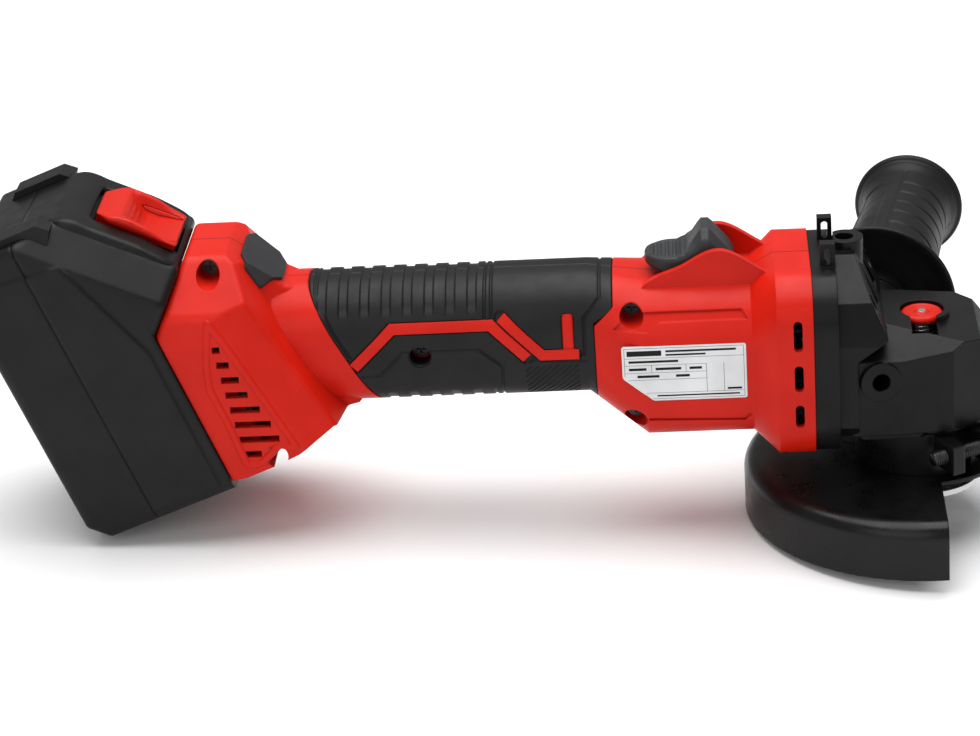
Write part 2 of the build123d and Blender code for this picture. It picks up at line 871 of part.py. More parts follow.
fan_blades = 20
with BuildPart() as cooling_fan:
    on_motor(
        (fan_rear_x, shaft_radius),
        (fan_rear_x, fan_radius),
        (fan_rear_x + 1.4, fan_radius),
        (fan_rear_x + 2.5, 9),
        (fan_front_x, 7.5),
        (fan_front_x, shaft_radius),
    )
    with BuildSketch(Plane.YZ.offset(fan_rear_x + 0.7)):
        with Locations((0, motor_z)):
            with PolarLocations((fan_radius + 15) / 2, fan_blades):
                Rectangle(fan_radius - 15.8, 1.3, rotation=28)
    extrude(amount=fan_front_x - fan_rear_x - 0.7)
    on_motor(
        (fan_rear_x - 1, fan_radius),
        (fan_rear_x - 1, fan_radius + 9),
        (fan_front_x + 1, fan_radius + 9),
        (fan_front_x + 1, fan_radius),
        mode=Mode.SUBTRACT,
    )
save(cooling_fan, "cooling_fan")


def gear_tooth(out_dir, tangent, tip_half, root_half):
    """A straight bevel tooth whose faces all run to the cone's apex."""
    ends = []
    for distance in (cone_outer, cone_inner):
        k = distance / cone_outer
        plane = Plane(origin=apex + out_dir * distance, x_dir=tangent, z_dir=out_dir)
        corners = [
            (-root_half * k, -(dedendum + 0.4) * k),
            (root_half * k, -(dedendum + 0.4) * k),
            (tip_half * k, addendum * k),
            (-tip_half * k, addendum * k),
        ]
        ends.append(outline(corners, plane))
    loft(ends, ruled=True)


with BuildPart() as crown_tooth:
    gear_tooth(Vector(crown_sin, 0, -crown_cos), Vector(0, 1, 0), 0.40, 1.15)

crown_root_z = motor_z - cone_outer * crown_cos - dedendum * crown_sin
crown_root_r = cone_outer * crown_sin - dedendum * crown_cos
inner_k = cone_inner / cone_outer
crown_inner_z = motor_z - (motor_z - crown_root_z) * inner_k
gear_hub_z = 43.0
spindle_gear_radius = 6.5

with BuildPart() as crown_gear:
    on_spindle(
        (spindle_gear_radius, gear_hub_z),
        (10.5, gear_hub_z),
        (10.5, gear_hub_z + 2),
        (crown_root_r - 0.6, gear_hub_z + 3),
        (crown_root_r + 0.3, gear_hub_z + 4),
        (crown_root_r, crown_root_z),
        (crown_root_r * inner_k, crown_inner_z),
        (crown_root_r * inner_k - 1, crown_inner_z - 1.0),
        (spindle_gear_radius, crown_inner_z - 1.0),
    )
    with PolarLocations(0, crown_teeth):
        add(crown_tooth.part)
save(crown_gear, "crown_gear")

pinion_root_r = crown_cos * cone_outer - dedendum * crown_sin
pinion_root_x = -(crown_sin * cone_outer + dedendum * crown_cos)
with BuildPart() as drive_pinion:
    on_motor(
        (hub_rear_x, shaft_radius),
        (hub_rear_x, 6.3),
        (hub_front_x - 1, 6.3),
        (pinion_back_x - 0.3, pinion_root_r + 0.3),
        (pinion_root_x, pinion_root_r),
        (pinion_root_x * inner_k, pinion_root_r * inner_k),
        (pinion_root_x * inner_k, 0),
        (hub_front_x, 0),
        (hub_front_x, shaft_radius),
    )
    for index in range(pinion_teeth):
        turn = 2 * pi * index / pinion_teeth
        gear_tooth(
            Vector(-crown_sin, -crown_cos * sin(turn), -crown_cos * cos(turn)),
            Vector(0, cos(turn), -sin(turn)),
            0.36,
            1.05,
        )
save(drive_pinion, "drive_pinion")

# ---------------------------------------------------------------- spindle group
roof_z = 54.6
spindle_top_z = 57.6
journal_radius = 5.5
bush_radius = 8.0
lower_bearing_z = 13.5
lower_bearing_width = 10.0
lower_bearing_radius = 16.0
spindle_seat_radius = 6.0
square = 5.0
collar_radius = 8.2

with BuildPart() as spindle:
    on_spindle(
        (0, spindle_thread_end),
        (spindle_thread_radius - 1, spindle_thread_end),
        (spindle_thread_radius, spindle_thread_end + 1),
        (spindle_thread_radius, -pilot_height),
        (spindle_shoulder_radius, -pilot_height),
        (spindle_shoulder_radius, inner_flange_height),
        (collar_radius, inner_flange_height),
        (collar_radius, lower_bearing_z),
        (spindle_seat_radius, lower_bearing_z),
        (spindle_seat_radius, lower_bearing_z + lower_bearing_width),
        (spindle_gear_radius, lower_bearing_z + lower_bearing_width),
        (spindle_gear_radius, crown_inner_z - 1.0),
        (journal_radius, crown_inner_z - 1.0),
        (journal_radius, spindle_top_z),
        (0, spindle_top_z),
    )
    with BuildSketch(Plane.XY.offset(spindle_top_z)):
        Rectangle(square + 0.4, square + 0.4)
    extrude(amount=-(lock_travel + 0.6), mode=Mode.SUBTRACT)
    with BuildSketch(Plane.XY.offset(spindle_thread_end)):
        RegularPolygon(3.4, 6)
    extrude(amount=7, mode=Mode.SUBTRACT)
save(spindle, "spindle")

with BuildPart() as inner_flange:
    on_spindle(
        (spindle_shoulder_radius, -pilot_height),
        (pilot_radius - 0.5, -pilot_height),
        (pilot_radius, -pilot_height + 0.5),
        (pilot_radius, 0),
        (inner_flange_radius, 0),
        (inner_flange_radius, 2.2),
        (inner_flange_radius - 1.5, 3.0),
        (13.5, 3.4),
        (12.5, inner_flange_height),
        (spindle_shoulder_radius, inner_flange_height),
    )
save(inner_flange, "inner_flange")

with BuildPart() as spindle_bearing_inner:
    on_spindle(
        (spindle_seat_radius, lower_bearing_z),
        (9.0, lower_bearing_z),
        (9.0, lower_bearing_z + lower_bearing_width),
        (spindle_seat_radius, lower_bearing_z + lower_bearing_width),
    )
save(spindle_bearing_inner, "spindle_bearing_inner")

with BuildPart() as spindle_bearing_outer:
    on_spindle(
        (13.2, lower_bearing_z),
        (lower_bearing_radius, lower_bearing_z),
        (lower_bearing_radius, lower_bearing_z + lower_bearing_width),
        (13.2, lower_bearing_z + lower_bearing_width),
    )
save(spindle_bearing_outer, "spindle_bearing_outer")

with BuildPart() as spindle_bearing_balls:
    with BuildSketch(Plane.XY.offset(lower_bearing_z + 4)):
        Circle(12.4)
        Circle(9.8, mode=Mode.SUBTRACT)
    extrude(amount=2)
    with Locations((0, 0, lower_bearing_z + lower_bearing_width / 2)):
        with PolarLocations(11.1, 8):
            Sphere(2.05)
save(spindle_bearing_balls, "spindle_bearing_balls")

with BuildPart() as upper_spindle_bush:
    on_spindle(
        (journal_radius + stud_clearance, roof_z),
        (bush_radius, roof_z),
        (bush_radius, spindle_top_z - 0.1),
        (journal_radius + stud_clearance, spindle_top_z - 0.1),
    )
save(upper_spindle_bush, "upper_spindle_bush")

with BuildPart() as dust_seal:
    on_spindle(
        (collar_radius + 0.3, neck_bottom_z + 0.4),
        (lower_bearing_radius, neck_bottom_z + 0.4),
        (lower_bearing_radius, lower_bearing_z),
        (13.4, lower_bearing_z),
        (13.4, lower_bearing_z - 0.6),
        (collar_radius + 0.3, lower_bearing_z - 0.6),
    )
save(dust_seal, "dust_seal")

cover_screw_places = [(-10.0, -26.0), (-10.0, 26.0)]
cover_screw_radius = 1.6
cover_screw_length = 11.0
cover_head_radius = 2.6

with BuildPart() as gear_case_cover:
    with BuildSketch(Plane.XY.offset(cover_plate_z)):
        with Locations((-13.0, 0)):
            RectangleRounded(26.0, 2 * case_half_width - 0.8, 4.5)
    extrude(amount=case_bottom_z - cover_plate_z)
    on_spindle(
        (collar_radius + 1.0, neck_bottom_z - 0.6),
        (neck_radius, neck_bottom_z - 0.6),
        (neck_radius, cover_plate_z),
        (26.0, cover_plate_z),
        (26.0, case_bottom_z),
        (24.9, case_bottom_z),
        (24.9, case_bottom_z + 3),
        (17.5, case_bottom_z + 3),
        (17.5, lower_bearing_z + lower_bearing_width + 0.1),
        (lower_bearing_radius + fit_gap, lower_bearing_z + lower_bearing_width + 0.1),
        (lower_bearing_radius + fit_gap, neck_bottom_z + 0.4),
        (collar_radius + 1.0, neck_bottom_z + 0.4),
    )
    with BuildSketch(Plane.XY.offset(cover_plate_z - 1)):
        Circle(lower_bearing_radius + 1.4)
    extrude(amount=6, mode=Mode.SUBTRACT)
    with Locations(Plane.XY.offset(cover_plate_z)):
        with Locations(*cover_screw_places):
            with Locations(Plane.YX):
                CounterSinkHole(cover_screw_radius + 0.1, cover_head_radius + 0.1, depth=10)
save(gear_case_cover, "gear_case_cover")

with BuildPart() as cover_screws:
    with BuildSketch(Plane.XY.offset(cover_plate_z + 0.1)):
        with Locations(*cover_screw_places):
            Circle(cover_screw_radius)
    extrude(amount=cover_screw_length)
    for x, y in cover_screw_places:
        with Locations((x, y, cover_plate_z + 0.1 + (cover_head_radius - cover_screw_radius) / 2)):
            Cone(cover_head_radius, cover_screw_radius, cover_head_radius - cover_screw_radius)
        with Locations((x, y, cover_plate_z + 0.5)):
            Box(3.2, 0.7, 0.9, mode=Mode.SUBTRACT)
            Box(0.7, 3.2, 0.9, mode=Mode.SUBTRACT)
save(cover_screws, "cover_screws")

# ---------------------------------------------------------------- gear case
flange_step_x = -25.0
arm_foot_x = -14.0
arm_top_z = 94.0
arm_outline = [(28.5, case_bottom_z), (30.5, 34.0), (30.5, 66.0), (27.5, 82.0), (7.0, 96.0)]
button_recess_radius = button_radius + slide_gap
recess_floor_z = 58.3
button_bottom_z = button_top_z - 3.2
plunger_radius = 3.2
plunger_tip_z = spindle_top_z + 0.4
plunger_shoulder_z = button_bottom_z - 1.0
pin_radius = 1.5

case_side = [
    (plate_front_x, case_bottom_z),
    (plate_front_x, case_top_rear_z + 1.5),
    (-20.0, case_top_rear_z),
    (20.0, case_top_front_z),
    (nose_x, case_top_front_z - 6.0),
    (nose_x, case_bottom_z + 4.0),
    (nose_x - 2.0, case_bottom_z),
]
case_plan = [
    (plate_front_x, 27.5),
    (-25.0, case_half_width),
    (-9.0, case_half_width),
    (9.5, 26.5),
    (21.0, 18.0),
    (nose_x, 9.5),
]
case_cross = [
    (case_half_width + 1, 0.0),
    (case_half_width + 1, case_side_z + 0.5),
    (case_top_half_width, 71.5),
    (case_top_half_width, 90.0),
]


def socket_plane(side):
    """The face of the handle socket on one side, looking outward."""
    return Plane(
        origin=(socket_x, side * socket_face_y, socket_z), z_dir=(sin(lean), side * cos(lean), 0)
    )


with BuildPart() as case_body:
    side_prism(case_side, 60.0)
    extrude(
        outline([(x, y) for x, y in case_plan] + [(x, -y) for x, y in reversed(case_plan)], Plane.XY),
        amount=120,
        mode=Mode.INTERSECT,
    )
    extrude(outline(mirrored(case_cross), Plane.YZ.offset(-80)), amount=160, mode=Mode.INTERSECT)
    fillet(case_body.edges().filter_by(Axis.Z).group_by(Axis.X)[-1], radius=3)

with BuildPart() as arm_form:
    side_prism(
        [
            (plate_front_x, case_bottom_z),
            (plate_front_x, arm_top_z),
            (-24.5, arm_top_z),
            (arm_foot_x, 68.0),
            (flange_step_x, 60.0),
            (flange_step_x, case_bottom_z),
        ],
        60.0,
    )
    with BuildSketch(Plane.YZ.offset(-80)):
        with BuildLine():
            Polyline(*mirrored(arm_outline), close=True)
        make_face()
    extrude(amount=160, mode=Mode.INTERSECT)
    for side in (-1, 1):
        extrude(
            outline([(side * 5.0, 90.0), (side * 5.0, 73.0), (side * 16.0, 73.0)], Plane.YZ.offset(-80)),
            amount=160,
            mode=Mode.SUBTRACT,
        )

with BuildPart() as gear_case:
    add(case_body.part)
    add(arm_form.part)
    # top handle socket, a vertical boss on the middle plane
    with BuildSketch(Plane.XY.offset(66.0)):
        with Locations((top_socket_x + 0.4, 0)):
            Circle(top_boss_radius)
    extrude(amount=top_socket_z - 66.0)
    # raised bosses of the two side sockets, leaning with the handle
    for side in (-1, 1):
        with BuildSketch(socket_plane(side).offset(-12)):
            Circle(socket_boss_radius)
        extrude(amount=12)
    # collar round the lock button
    with BuildSketch(Plane.XY.offset(recess_floor_z)):
        Circle(button_recess_radius + 2.2)
    extrude(amount=collar_top_z - recess_floor_z)
    # inside: gear chamber, bush seat, pinion way
    on_spindle(
        (0, case_bottom_z - 1),
        (25.0, case_bottom_z - 1),
        (25.0, case_bottom_z + 3.05),
        (cavity_radius, case_bottom_z + 3.05),
        (cavity_radius, roof_z),
        (bush_radius + fit_gap, roof_z),
        (bush_radius + fit_gap, spindle_top_z),
        (plunger_radius + 1.0, spindle_top_z + 0.2),
        (plunger_radius + 1.0, recess_floor_z),
        (button_recess_radius, recess_floor_z),
        (button_recess_radius, 90.0),
        (0, 90.0),
        mode=Mode.SUBTRACT,
    )
    on_motor((plate_front_x - 1, 0), (plate_front_x - 1, 7.8), (-10.8, 7.8), (-10.8, 0), mode=Mode.SUBTRACT)
    # the collar is cut away towards the right hand
    slab((-4.8, -20.0, recess_floor_z), (4.8, 0.0, 90.0), Mode.SUBTRACT)
    # threaded sockets
    for side, bore in ((-1, socket_radius), (1, stud_radius + stud_clearance)):
        with BuildSketch(socket_plane(side).offset(2)):
            Circle(bore)
        extrude(amount=-(socket_depth + 2), mode=Mode.SUBTRACT)
    with BuildSketch(Plane.XY.offset(top_socket_z)):
        with Locations((top_socket_x, 0)):
            Circle(socket_radius)
    extrude(amount=-socket_depth, mode=Mode.SUBTRACT)
    # screw holes
    with BuildSketch(Plane.YZ.offset(plate_front_x - 1)):
        with Locations(*plate_screw_places):
            Circle(plate_screw_radius + 0.15)
    extrude(amount=20, mode=Mode.SUBTRACT)
    with BuildSketch(Plane.YZ.offset(flange_step_x)):
        with Locations(*plate_screw_places):
            Circle(4.0)
    extrude(amount=20, mode=Mode.SUBTRACT)
    with BuildSketch(Plane.XY.offset(case_bottom_z - 1)):
        with Locations(*cover_screw_places):
            Circle(cover_screw_radius + 0.02)
    extrude(amount=cover_screw_length + 1, mode=Mode.SUBTRACT)
    # nothing of the case reaches behind the bearing plate's face
    slab((plate_front_x - 20, -60, 0), (plate_front_x, 60, 120), Mode.SUBTRACT)
save(gear_case, "gear_case")

with BuildPart() as gear_case_screws:
    with BuildSketch(Plane.YZ.offset(flange_step_x)):
        with Locations(*plate_screw_places):
            Circle(3.5)
            RegularPolygon(1.7, 6, mode=Mode.SUBTRACT)
    extrude(amount=3.4)
    with BuildSketch(Plane.YZ.offset(flange_step_x + 0.9)):
        with Locations(*plate_screw_places):
            Circle(plate_screw_radius)
    extrude(amount=plate_rear_x - front_rim - flange_step_x - 0.5)
save(gear_case_screws, "gear_case_screws")

# ---------------------------------------------------------------- spindle lock
with BuildPart() as lock_button:
    on_spindle(
        (0, button_bottom_z),
        (button_radius - 0.8, button_bottom_z),
        (button_radius, button_bottom_z + 0.6),
        (button_radius, button_top_z - 1.6),
        (button_radius - 1.8, button_top_z - 0.4),
        (button_radius - 2.6, button_top_z - 0.8),
        (2.2, button_top_z - 0.6),
        (2.2, button_top_z - 0.2),
        (0, button_top_z - 0.2),
    )
    on_spindle(
        (0, button_bottom_z - 1),
        (pin_radius, button_bottom_z - 1),
        (pin_radius, button_top_z),
        (0, button_top_z),
        mode=Mode.SUBTRACT,
    )
save(lock_button, "lock_button")

with BuildPart() as lock_plunger:
    on_spindle(
        (0, plunger_shoulder_z),
        (plunger_radius, plunger_shoulder_z),
        (plunger_radius, button_bottom_z),
        (pin_radius, button_bottom_z),
        (pin_radius, button_top_z - 0.3),
        (0, button_top_z - 0.3),
    )
    with BuildSketch(Plane.XY.offset(plunger_tip_z)):
        Rectangle(square, square)
    extrude(amount=plunger_shoulder_z - plunger_tip_z)
save(lock_plunger, "lock_plunger")

spring_wire = 0.35
with BuildPart() as lock_spring:
    with BuildLine(Plane.XY.offset(recess_floor_z + spring_wire + 0.05)):
        coil = Helix(
            pitch=1.3,
            height=button_bottom_z - recess_floor_z - 2 * spring_wire - 0.1,
            radius=6.6,
            cone_angle=-25,
        )
    with BuildSketch(Plane(origin=coil @ 0, z_dir=coil % 0)):
        Circle(spring_wire)
    sweep(path=coil)
save(lock_spring, "lock_spring")

# ---------------------------------------------------------------- slide switch
slider_low_z = barrel_top_z + slide_gap
slider_half_width = 10.0
with BuildPart() as switch_slider:
    with BuildSketch(Plane.XZ):
        with BuildLine():
            Polyline(
                (-101.0, slider_low_z + 2.2),
                (-97.5, slider_low_z),
                (-72.0, slider_low_z),
                (-70.5, slider_low_z + 1.9),
                (-68.0, slider_low_z + 2.6),
                (-68.5, slider_low_z + 4.5),
                (-75.5, 103.5),
                (-77.0, 105.0),
                (-80.0, 105.0),
                (-84.5, 98.6),
                (-88.0, 96.6),
                (-99.0, 95.2),
                (-101.0, 93.5),
                close=True,
            )
        make_face()
    extrude(amount=slider_half_width, both=True)
    with Locations(*[(-97.0 + 3.1 * index, 0, 96.6) for index in range(4)]):
        Box(1.3, 2 * slider_half_width, 3.4)
    with BuildSketch(Plane.XY.offset(80)):
        with Locations((-91.0, 0)):
            Circle(slider_half_width)
        with Locations((-79.0, 0)):
            Rectangle(24, 2 * slider_half_width)
    extrude(amount=40, mode=Mode.INTERSECT)
    slab(
        (stem_rear_x, -stem_half_width, link_low_z + 1.4),
        (stem_rear_x + stem_length, stem_half_width, slider_low_z + 1),
    )
save(switch_slider, "switch_slider")

link_rear_x = -176.0
with BuildPart() as switch_link:
    slab((link_rear_x, -4.0, link_low_z), (stem_rear_x + stem_length, 4.0, link_low_z + 1.4))
    slab((link_rear_x, -4.0, link_low_z - 3.5), (link_rear_x + 2.0, 4.0, link_low_z + 1.4))
save(switch_link, "switch_link")

module_top_z = link_low_z - 0.2
with BuildPart() as switch_module:
    slab((-164.0, -8.5, module_top_z - 21.0), (-136.0, 8.5, module_top_z))
    fillet(switch_module.edges().filter_by(Axis.Z), radius=1.2)
    for x in (-157.0, -150.0, -143.0):
        slab((x - 0.4, -3.0, module_top_z - 26.0), (x + 0.4, 3.0, module_top_z - 20.0))
save(switch_module, "switch_module")

# ---------------------------------------------------------------- guard
guard_inner_radius = guard_radius - guard_sheet
band_inner_radius = neck_radius + 0.1
band_outer_radius = band_inner_radius + 2.8
lug_root = band_inner_radius + 0.5
lug_angle = -61.6
lug_radius = 30.5
lug_z = 22.0
lug_height = 11.0
lug_end = lug_radius + 6.2
lug_inner = 5.2
lug_outer = 10.2
clamp_radius = 3.0

with BuildPart() as guard:
    on_spindle(
        (band_inner_radius, guard_plate_z),
        (guard_radius, guard_plate_z),
        (guard_radius, guard_rim_z),
        (guard_inner_radius, guard_rim_z),
        (guard_inner_radius, guard_plate_z - guard_sheet),
        (band_inner_radius, guard_plate_z - guard_sheet),
    )
    for corner_radius, corner_z, rounding in (
        (guard_radius, guard_plate_z, guard_corner),
        (guard_inner_radius, guard_plate_z - guard_sheet, guard_corner - guard_sheet),
    ):
        circles = [
            edge
            for edge in guard.edges().filter_by(GeomType.CIRCLE)
            if abs(edge.radius - corner_radius) < 0.01 and abs(edge.center().Z - corner_z) < 0.01
        ]
        fillet(circles, radius=rounding)
    slab((guard_cut_x, -80, -40), (80, 80, 40), Mode.SUBTRACT)
    on_spindle(
        (band_inner_radius, guard_plate_z),
        (band_outer_radius + 5.5, guard_plate_z),
        (band_outer_radius + 5.5, guard_plate_z - guard_sheet),
        (band_inner_radius, guard_plate_z - guard_sheet),
    )
save(guard, "guard")

lug_frame = Plane(
    origin=(0, 0, lug_z),
    x_dir=(cos(radians(lug_angle)), sin(radians(lug_angle)), 0),
    z_dir=(0, 0, 1),
)
with BuildPart() as guard_band:
    on_spindle(
        (band_inner_radius, guard_plate_z),
        (band_outer_radius, guard_plate_z),
        (band_outer_radius, cover_plate_z - 0.6),
        (band_inner_radius, cover_plate_z - 0.6),
    )
    for side in (-1, 1):
        with BuildSketch(lug_frame.offset(-lug_height / 2)):
            with Locations(((lug_root + lug_end) / 2, side * (lug_inner + lug_outer) / 2)):
                Rectangle(lug_end - lug_root, lug_outer - lug_inner)
        extrude(amount=lug_height)
    with BuildSketch(lug_frame.offset(-20)):
        with Locations((band_inner_radius + 8, 0)):
            Rectangle(18, 2 * lug_inner)
    extrude(amount=40, mode=Mode.SUBTRACT)
    with BuildSketch(Plane(origin=lug_frame.from_local_coords((lug_radius, -30, 0)), z_dir=lug_frame.y_dir)):
        Circle(clamp_radius + 0.05)
    extrude(amount=60, mode=Mode.SUBTRACT)
save(guard_band, "guard_band")

with BuildPart() as clamp_screw:
    screw_plane = Plane(origin=lug_frame.from_local_coords((lug_radius, 0, 0)), z_dir=lug_frame.y_dir)
    with BuildSketch(screw_plane.offset(-15.4)):
        Circle(clamp_radius)
    extrude(amount=15.4 + lug_outer + 0.5)
    chamfer(clamp_screw.faces().sort_by(Axis(screw_plane.origin, screw_plane.z_dir))[0].edges(), length=0.8)
    with BuildSketch(screw_plane.offset(lug_outer)):
        Circle(5.0)
    extrude(amount=5.5)
    with BuildSketch(screw_plane.offset(lug_outer + 5.5)):
        RegularPolygon(2.9, 6)
    extrude(amount=-3.0, mode=Mode.SUBTRACT)
save(clamp_screw, "clamp_screw")

# ---------------------------------------------------------------- side handle
handle_core_radius = 12.0
stud_reach = 12.0
core_front = 0.3
core_end = handle_length - 18.0

with BuildPart() as handle_stud:
    on_handle(
        (0, -stud_reach),
        (stud_radius - 0.8, -stud_reach),
        (stud_radius, 0.8 - stud_reach),
        (stud_radius, 44.0),
        (6.5, 44.0),
        (6.5, 50.0),
        (0, 50.0),
    )
save(handle_stud, "handle_stud")

with BuildPart() as handle_core:
    on_handle(
        (stud_radius, core_front),
        (8.0, core_front),
        (9.5, core_front + 0.9),
        (11.0, 9.0),
        (handle_core_radius, 9.0),
        (handle_core_radius, core_end),
        (0, core_end),
        (0, 50.0),
        (6.5, 50.0),
        (6.5, 44.0),
        (stud_radius, 44.0),
    )
save(handle_core, "handle_core")

with BuildPart() as handle_grip:
    with BuildSketch(handle_plane):
        with BuildLine():
            front = Polyline(
                (handle_core_radius, dish_distance + 2.5),
                (20.0, dish_distance + 2.0),
                (dish_radius - 1.5, dish_distance - 1.5),
            )
            rim = ThreePointArc(
                front @ 1, (dish_radius, dish_distance), (dish_radius - 1.0, dish_distance + 1.8)
            )
            back = Spline(
                rim @ 1,
                (22.5, 20.5),
                (handle_grip_radius + 1.6, 27.0),
                (handle_grip_radius + 1.0, 34.0),
            )
            barrel_line = Spline(
                back @ 1,
                (handle_grip_radius + 1.6, 62.0),
                (handle_grip_radius + 0.4, 98.0),
                (handle_grip_radius + 1.8, 106.0),
                (grip_end_radius - 1.0, handle_length - 5.0),
            )
            end_rim = ThreePointArc(
                barrel_line @ 1,
                (grip_end_radius, handle_length - 3.4),
                (grip_end_radius - 1.6, handle_length - 1.6),
            )
            Polyline(
                end_rim @ 1,
                (handle_core_radius, handle_length),
                (0, handle_length),
                (0, core_end + 0.1),
                (handle_core_radius, core_end + 0.1),
                front @ 0,
            )
        make_face()
    revolve(axis=handle_axis)
save(handle_grip, "handle_grip")

# ---------------------------------------------------------------- battery pack
seam_t = 27.0
pack_outline = [
    (0.0, 7.0),
    (7.0, 0.0),
    (pack_depth, 0.0),
    (pack_depth, knee_s),
    (pack_depth + ridge_rise - foot_gap, knee_s + ridge_rise - foot_gap),
    (41.0, pack_length),
    (9.0, pack_length),
    (0.0, pack_length - 9.0),
]
latch_q = (pack_depth + knee_s + 2 * (ridge_rise - foot_gap)) / sqrt(2)
shoulder = 11.0
latch_dir = (pack_v + pack_u).normalized()
slope_along = (pack_v - pack_u).normalized()
latch_w = -24.0
latch_length = 32.0
latch_half = 11.5
latch_floor_q = latch_q - 8.0


def across_pack(q):
    """A plane across the latch face at height q: x is Y, y runs down the slope."""
    return Plane(
        origin=pack_origin + latch_dir * q + slope_along * latch_w,
        x_dir=(0, 1, 0),
        z_dir=latch_dir,
    )


def pack_form(inset):
    """The pack's outer shape without its rail, inset all round."""
    half = pack_half_width - inset
    end_plane = Plane(origin=pack_origin - slope_along * 160, x_dir=(0, 1, 0), z_dir=slope_along)
    sign = 1 if end_plane.y_dir.dot(latch_dir) > 0 else -1
    high = latch_q - inset
    cross = [(half, -60 * sign), (half, (high - shoulder) * sign), (25.0 - inset, (high + 0.1) * sign)]
    with BuildPart() as form:
        with BuildSketch(pack_side):
            with BuildLine():
                Polyline(*pack_outline, close=True)
            make_face()
            if inset:
                offset(amount=-inset, kind=Kind.INTERSECTION)
        extrude(amount=half, both=True)
        with BuildSketch(end_plane):
            with BuildLine():
                Polyline(*mirrored(cross), close=True)
            make_face()
        extrude(amount=320, mode=Mode.INTERSECT)
    return form.part


board_t = pack_depth - 8.0
slot_half_width = 1.7
leaf_thickness = 0.6

with BuildPart() as pack_solid:
    add(pack_form(0.0))
    # rounded all over, but for the edges that meet the tool
    soft_edges = []
    for edge in pack_solid.edges():
        place = edge.center() - pack_origin
        if place.dot(pack_v) < pack_depth - 0.6 or place.dot(pack_u) > knee_s + 1.0:
            soft_edges.append(edge)
    fillet(soft_edges, radius=pack_round)
    # raised side panels with a bevelled edge
    for side in (-1, 1):
        face_plane = pack_side.offset(pack_half_width) if side < 0 else pack_side.offset(-pack_half_width)
        with BuildSketch(face_plane):
            with BuildLine():
                Polyline(
                    (3.0, 9.0),
                    (9.0, 3.5),
                    (pack_depth - 4.0, 3.5),
                    (pack_depth - 4.0, knee_s - 4.0),
                    (44.0, 93.0),
                    (40.0, pack_length - 13.0),
                    (8.0, pack_length - 10.0),
                    (3.0, pack_length - 16.0),
                    close=True,
                )
            make_face()
        extrude(amount=-side * 0.9, taper=20)

with BuildPart() as pack_hollow:
    add(pack_form(pack_wall))

with BuildPart() as pack_shell:
    add(pack_solid.part)
    add(pack_hollow.part, mode=Mode.SUBTRACT)
    add(tongue(0.0, tongue_start_s, tongue_end_s, pack_depth - 1.0))
    # blade slots in the rail
    with BuildSketch(pack_face(blade_t - 2.0)):
        with Locations(*[(y, tongue_start_s + 8.0) for y in blade_places]):
            Rectangle(2 * slot_half_width, 20.0)
    extrude(amount=4.0, mode=Mode.SUBTRACT)
    # latch window
    with BuildSketch(across_pack(latch_q + 1)):
        Rectangle(2 * (latch_half + slide_gap), latch_length + 2 * slide_gap)
    extrude(amount=-9.0, mode=Mode.SUBTRACT)

with BuildPart() as latch_well:
    with BuildSketch(across_pack(latch_q - 9.6)):
        Rectangle(2 * latch_half + 6, latch_length + 6)
    extrude(amount=9.0)
    with BuildSketch(across_pack(latch_floor_q)):
        Rectangle(2 * (latch_half + slide_gap), latch_length + 2 * slide_gap)
    extrude(amount=12.0, mode=Mode.SUBTRACT)
    add(pack_solid.part, mode=Mode.INTERSECT)


def pack_part(low_t, high_t):
    """The box between two depths of the pack."""
    with BuildPart() as block:
        with BuildSketch(pack_face(low_t)):
            with Locations((0, 60)):
                Rectangle(120, 240)
        extrude(amount=high_t - low_t)
    return block.part


with BuildPart() as pack_base_case:
    add(pack_shell.part)
    add(pack_part(-20.0, seam_t), mode=Mode.INTERSECT)
save(pack_base_case, "pack_base_case")

with BuildPart() as pack_top_case:
    add(pack_shell.part)
    add(latch_well.part)
    add(pack_part(seam_t, 130.0), mode=Mode.INTERSECT)
save(pack_top_case, "pack_top_case")

cell_pitch = 18.9
cell_rows_t = (13.0, 32.2)
cell_start_s = 13.0
cell_places = [(t, cell_start_s + cell_pitch * index) for t in cell_rows_t for index in range(5)]
with BuildPart() as battery_cells:
    with BuildSketch(pack_side.offset(-cell_length / 2)):
        with Locations(*cell_places):
            Circle(cell_radius)
    extrude(amount=cell_length)
    with BuildSketch(pack_side.offset(cell_length / 2)):
        with Locations(*cell_places):
            Circle(3.6)
    extrude(amount=0.7)
save(battery_cells, "battery_cells")

with BuildPart() as cell_straps:
    for side in (-1, 1):
        with BuildSketch(pack_side.offset(side * (cell_length / 2 + 0.85) - 0.1)):
            for index in range(5):
                with Locations(((cell_rows_t[0] + cell_rows_t[1]) / 2, cell_start_s + cell_pitch * index)):
                    Rectangle(cell_rows_t[1] - cell_rows_t[0] + 8, 7.0)
        extrude(amount=0.2)
save(cell_straps, "cell_straps")

with BuildPart() as pack_board:
    with BuildSketch(pack_face(board_t)):
        with Locations((0, 36)):
            RectangleRounded(56, 54, 2)
    extrude(amount=1.6)
    with BuildSketch(pack_face(board_t + 1.6)):
        with Locations((-16, 44), (0, 44), (16, 44)):
            Rectangle(7, 9)
        with Locations((8, 26)):
            Rectangle(10, 10)
    extrude(amount=1.4)
save(pack_board, "pack_board")

with BuildPart() as pack_terminals:
    with BuildSketch(pack_face(blade_t - 1.8)):
        for y in blade_places:
            for side in (-1, 1):
                with Locations((y + side * (slot_half_width - leaf_thickness / 2), tongue_start_s + 9.0)):
                    Rectangle(leaf_thickness, 15.0)
    extrude(amount=3.6)
save(pack_terminals, "pack_terminals")

